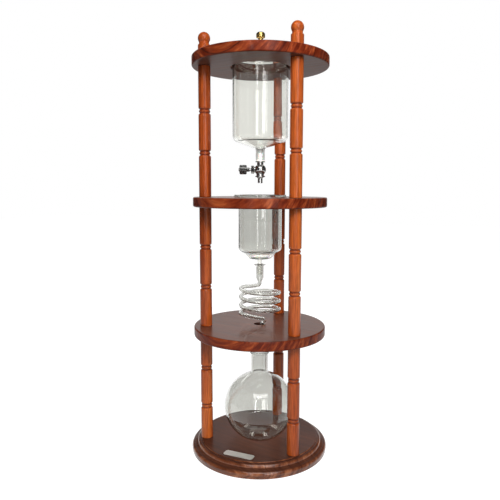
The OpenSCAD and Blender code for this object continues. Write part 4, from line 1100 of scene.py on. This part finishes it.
def cooling_coil():
    bm = bmesh.new()
    angles = [TAU * (j + 0.5) / COIL_SIDES for j in range(COIL_SIDES)]
    path = coil_stations(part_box("cooling_coil")[0].z)
    skins = []
    for skin in ("outer", "inner"):
        rings = []
        for place, heading, dip, outer_r, inner_r in path:
            side = Vector((-math.sin(heading), math.cos(heading), 0))
            up = Vector((math.sin(dip) * math.cos(heading), math.sin(dip) * math.sin(heading),
                         math.cos(dip)))
            r = outer_r if skin == "outer" else inner_r
            rings.append([bm.verts.new(place + r * (math.cos(a) * side + math.sin(a) * up))
                          for a in angles])
        for near, far in zip(rings, rings[1:]):
            join_rings(bm, near, far)
        skins.append(rings)
    for end in (0, -1):
        join_rings(bm, skins[0][end], skins[1][end])
    bmesh.ops.recalc_face_normals(bm, faces=bm.faces)
    piece = as_object("cooling_coil_wound", bm)
    return finished(piece, "coil", COIL_GLASS, ["cooling_coil"], shadow=False)


# ---- Valve and lid knob ----

# The frame of the spindle: its own Z runs out to the knob.
ALONG_SPINDLE = (Matrix.Translation((0, 0, SPINDLE_Z)) @ Matrix.Rotation(SPINDLE_ANGLE, 4, "Z")
                 @ Matrix.Rotation(math.pi / 2, 4, "Y"))


def valve_body():
    low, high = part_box("valve_body")
    neck_a = math.acos(VALVE_NECK_R / BALL_R)
    collar_a = math.acos(COLLAR_R / BALL_R)
    outline = (
        rounded([(WATER_R, high.z, 0), (INLET_R, high.z, 0.3 * MM), (INLET_R, RIM_TOP, 0),
                 (RIM_R, RIM_TOP, 0.4 * MM), (RIM_R, RIM_TOP - RIM_T, 0.4 * MM),
                 (VALVE_NECK_R, RIM_TOP - RIM_T, 0.6 * MM),
                 (VALVE_NECK_R, SPINDLE_Z + BALL_R * math.sin(neck_a), 0)], closed=False)
        + arc(0, SPINDLE_Z, BALL_R, math.degrees(neck_a), -math.degrees(collar_a))
        + [(COLLAR_R, low.z), (WATER_R, low.z)]
    )
    body = as_object("valve_body_turned", lathe(outline, sides=TURNED_SIDES))
    boss = rounded([(0, 0, 0), (BOSS_R, 0, 0), (BOSS_R, BOSS_X, 0.5 * MM), (0, BOSS_X, 0)],
                   closed=False)
    combine(body, "UNION", as_object("boss", lathe(boss, ALONG_SPINDLE, sides=BOSS_SIDES)))
    bore_end = BOSS_X + BORE_PAST
    bore = [(0, 0), (SHAFT_R, 0), (SHAFT_R, bore_end), (0, bore_end)]
    combine(body, "DIFFERENCE", as_object("bore", lathe(bore, ALONG_SPINDLE, sides=CUTTER_SIDES)))
    return finished(body, "bowl", CHROME, ["valve_body"], sharp=math.radians(30))


def outlet_nozzle():
    low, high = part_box("outlet_nozzle")
    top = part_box("valve_body")[0].z
    flange = top - NOZZLE_FLANGE_T
    outline = rounded([
        (WATER_R, low.z, 0.3 * MM), (NOZZLE_R, low.z, 0.4 * MM),
        (NOZZLE_R, flange - NOZZLE_TAPER, 1 * MM), (COLLAR_R, flange, 0),
        (NOZZLE_FLANGE_R, flange, 0.5 * MM), (NOZZLE_FLANGE_R, top, 0.5 * MM),
        (SPIGOT_R, top, 0), (SPIGOT_R, high.z, 0), (WATER_R, high.z, 0)
    ])
    piece = as_object("outlet_nozzle_turned", lathe(outline, sides=TURNED_SIDES))
    return finished(piece, "bowl", CHROME, ["outlet_nozzle"], sharp=math.radians(30))


def valve_knob():
    """The knob: a drum with shallow flutes that run out at its rounded ends."""
    outline = rounded([
        (SHAFT_R, HUB_X, 0), (HUB_R, HUB_X, 0.4 * MM), (HUB_R, KNOB_X, 0.6 * MM),
        (KNOB_R, KNOB_X, KNOB_ROUND), (KNOB_R, KNOB_END, KNOB_ROUND), (SHAFT_R, KNOB_END, 0)
    ])

    def flutes(r, z, a):
        if r < FLUTE_START_R:
            return 0.0
        return -FLUTE_DEPTH * (0.5 + 0.5 * math.cos(KNOB_FLUTES * a)) ** FLUTE_SHARPNESS

    turned_knob = lathe(outline, ALONG_SPINDLE, sides=KNOB_FLUTES * FLUTE_SIDES, wave=flutes)
    piece = as_object("valve_knob_turned", turned_knob)
    return finished(piece, "knob", SHADED_KNOB_CHROME, ["valve_knob"], sharp=math.radians(50))


def lid_knob():
    low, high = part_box("lid_knob")
    neck_z = high.z - LID_HEAD_H
    bore_z = low.z + SCREW_BORE_L
    outline = rounded([
        (0, bore_z, 0), (SCREW_BORE_R, bore_z, 0), (SCREW_BORE_R, low.z, 0),
        (LID_FOOT_R, low.z, 0.2 * MM), (LID_FOOT_R, low.z + LID_FOOT_H, 0.6 * MM),
        (LID_NECK_R, low.z + LID_NECK_Z, 1 * MM), (LID_NECK_R, neck_z, 1.5 * MM),
        (LID_HEAD_R, neck_z, 2.4 * MM), (LID_HEAD_R, high.z, LID_HEAD_ROUND), (0, high.z, 0)
    ], closed=False)
    piece = as_object("lid_knob_turned", lathe(outline, sides=TURNED_SIDES))
    return finished(piece, "lid", BRASS, ["lid_knob"])


# ---- Stage: floor, surroundings, lamps and camera ----

def seen_by_eye(tree):
    """1 where the camera looks, straight or by way of gloss or glass."""
    path = tree.nodes.new("ShaderNodeLightPath")
    total = path.outputs["Is Camera Ray"]
    for way in ("Is Glossy Ray", "Is Transmission Ray"):
        either = tree.nodes.new("ShaderNodeMath")
        either.operation = "MAXIMUM"
        tree.links.new(total, either.inputs[0])
        tree.links.new(path.outputs[way], either.inputs[1])
        total = either.outputs[0]
    return total


def world():
    """White behind the object, and a plain even level on it."""
    scene_world = bpy.data.worlds.new("studio")
    bpy.context.scene.world = scene_world
    scene_world.use_nodes = True
    tree = scene_world.node_tree
    seen = tree.nodes["Background"]
    seen.inputs["Color"].default_value = (1, 1, 1, 1)
    seen.inputs["Strength"].default_value = 1.0
    lit = tree.nodes.new("ShaderNodeBackground")
    lit.inputs["Color"].default_value = WORLD_COLOUR
    lit.inputs["Strength"].default_value = WORLD_LEVEL
    mix = tree.nodes.new("ShaderNodeMixShader")
    tree.links.new(seen_by_eye(tree), mix.inputs["Fac"])
    tree.links.new(lit.outputs[0], mix.inputs[1])
    tree.links.new(seen.outputs[0], mix.inputs[2])
    tree.links.new(mix.outputs[0], tree.nodes["World Output"].inputs["Surface"])


def without_gloss(name, colour):
    return Shader(name, Base_Color=colour, Roughness=1.0, Specular_IOR_Level=0.0)


def floor():
    """A grey floor that the eye sees as almost white, and quite white further out."""
    shader = without_gloss("floor", FLOOR_COLOUR)
    place = shader.add("TexCoord").outputs["Object"]
    away = shader.add("VectorMath", {0: place}, operation="LENGTH").outputs["Value"]
    level = shader.add("MapRange", {**GLOW, "Value": away}).outputs["Result"]
    glow = shader.math("MULTIPLY", seen_by_eye(shader.tree), level)
    shader.give(shader.main, "Emission Color", (1, 1, 1, 1))
    shader.give(shader.main, "Emission Strength", glow)
    bm = bmesh.new()
    bmesh.ops.create_grid(bm, x_segments=2, y_segments=2, size=FLOOR_HALF)
    obj = as_object("floor", bm)
    obj.data.materials.append(shader.material)


def flags():
    """Dark cards overhead and all round but behind, as in a glass studio. Only gloss shows them."""
    bm = bmesh.new()
    pitch = 2 * FLAG_HALF / FLAG_COUNT
    for card in range(FLAG_COUNT):
        start = (CAMERA_TURN - math.pi / 2 - FLAG_HALF
                 + pitch * (card + (1 - FLAG_SHARE) / 2))
        angles = swept(start, pitch * FLAG_SHARE, FLAG_STEPS)
        for a, b in zip(angles, angles[1:]):
            bm.faces.new([bm.verts.new((FLAG_RING_R * math.cos(at), FLAG_RING_R * math.sin(at), z))
                          for at, z in ((a, 0.0), (b, 0.0), (b, FLAG_TOP), (a, FLAG_TOP))])
    bmesh.ops.create_circle(bm, cap_ends=True, segments=48, radius=FLAG_RING_R,
                            matrix=Matrix.Translation((0, 0, FLAG_TOP)))
    obj = as_object("flags", bm)
    obj.data.materials.append(without_gloss("flag", FLAG_COLOUR).material)
    for way in ("camera", "diffuse", "transmission", "shadow", "volume_scatter"):
        setattr(obj, "visible_" + way, False)


def in_camera_terms(turn, away, height):
    """A place by its angle from the camera's own side, its distance and its height."""
    angle = CAMERA_TURN + turn
    return Vector((math.sin(angle) * away, -math.cos(angle) * away, height))


def lamps():
    """Soft area lamps. Gloss shows only those that are mirrored."""
    for name, turn, away, height, size, power, aim_z, mirrored in LAMPS:
        data = bpy.data.lights.new(name, "AREA")
        data.shape = "RECTANGLE"
        data.size, data.size_y = size
        data.energy = power
        obj = bpy.data.objects.new(name, data)
        obj.location = in_camera_terms(math.radians(turn), away, height)
        facing = Vector((0, 0, aim_z)) - obj.location
        obj.rotation_euler = facing.to_track_quat("-Z", "Y").to_euler()
        obj.visible_glossy = mirrored
        bpy.context.scene.collection.objects.link(obj)


def camera():
    data = bpy.data.cameras.new("camera")
    data.sensor_width = CAMERA_SENSOR
    data.lens = CAMERA_LENS
    data.shift_x = CAMERA_SHIFT
    obj = bpy.data.objects.new("camera", data)
    obj.location = in_camera_terms(0, CAMERA_AWAY, CAMERA_HEIGHT)
    facing = (Matrix.Rotation(CAMERA_TURN, 4, "Z")
              @ Matrix.Rotation(math.pi / 2 - CAMERA_TILT, 4, "X")
              @ Matrix.Rotation(CAMERA_ROLL, 4, "Z"))
    obj.rotation_euler = facing.to_euler()
    bpy.context.scene.collection.objects.link(obj)
    bpy.context.scene.camera = obj


camera()
world()
floor()
flags()
lamps()
bpy.context.scene.view_settings.view_transform = "Standard"

finish_nodes()
stand()
water_bowl()
bowl_lid()
valve_body()
outlet_nozzle()
valve_knob()
lid_knob()
coffee_chamber()
cooling_coil()
flask()
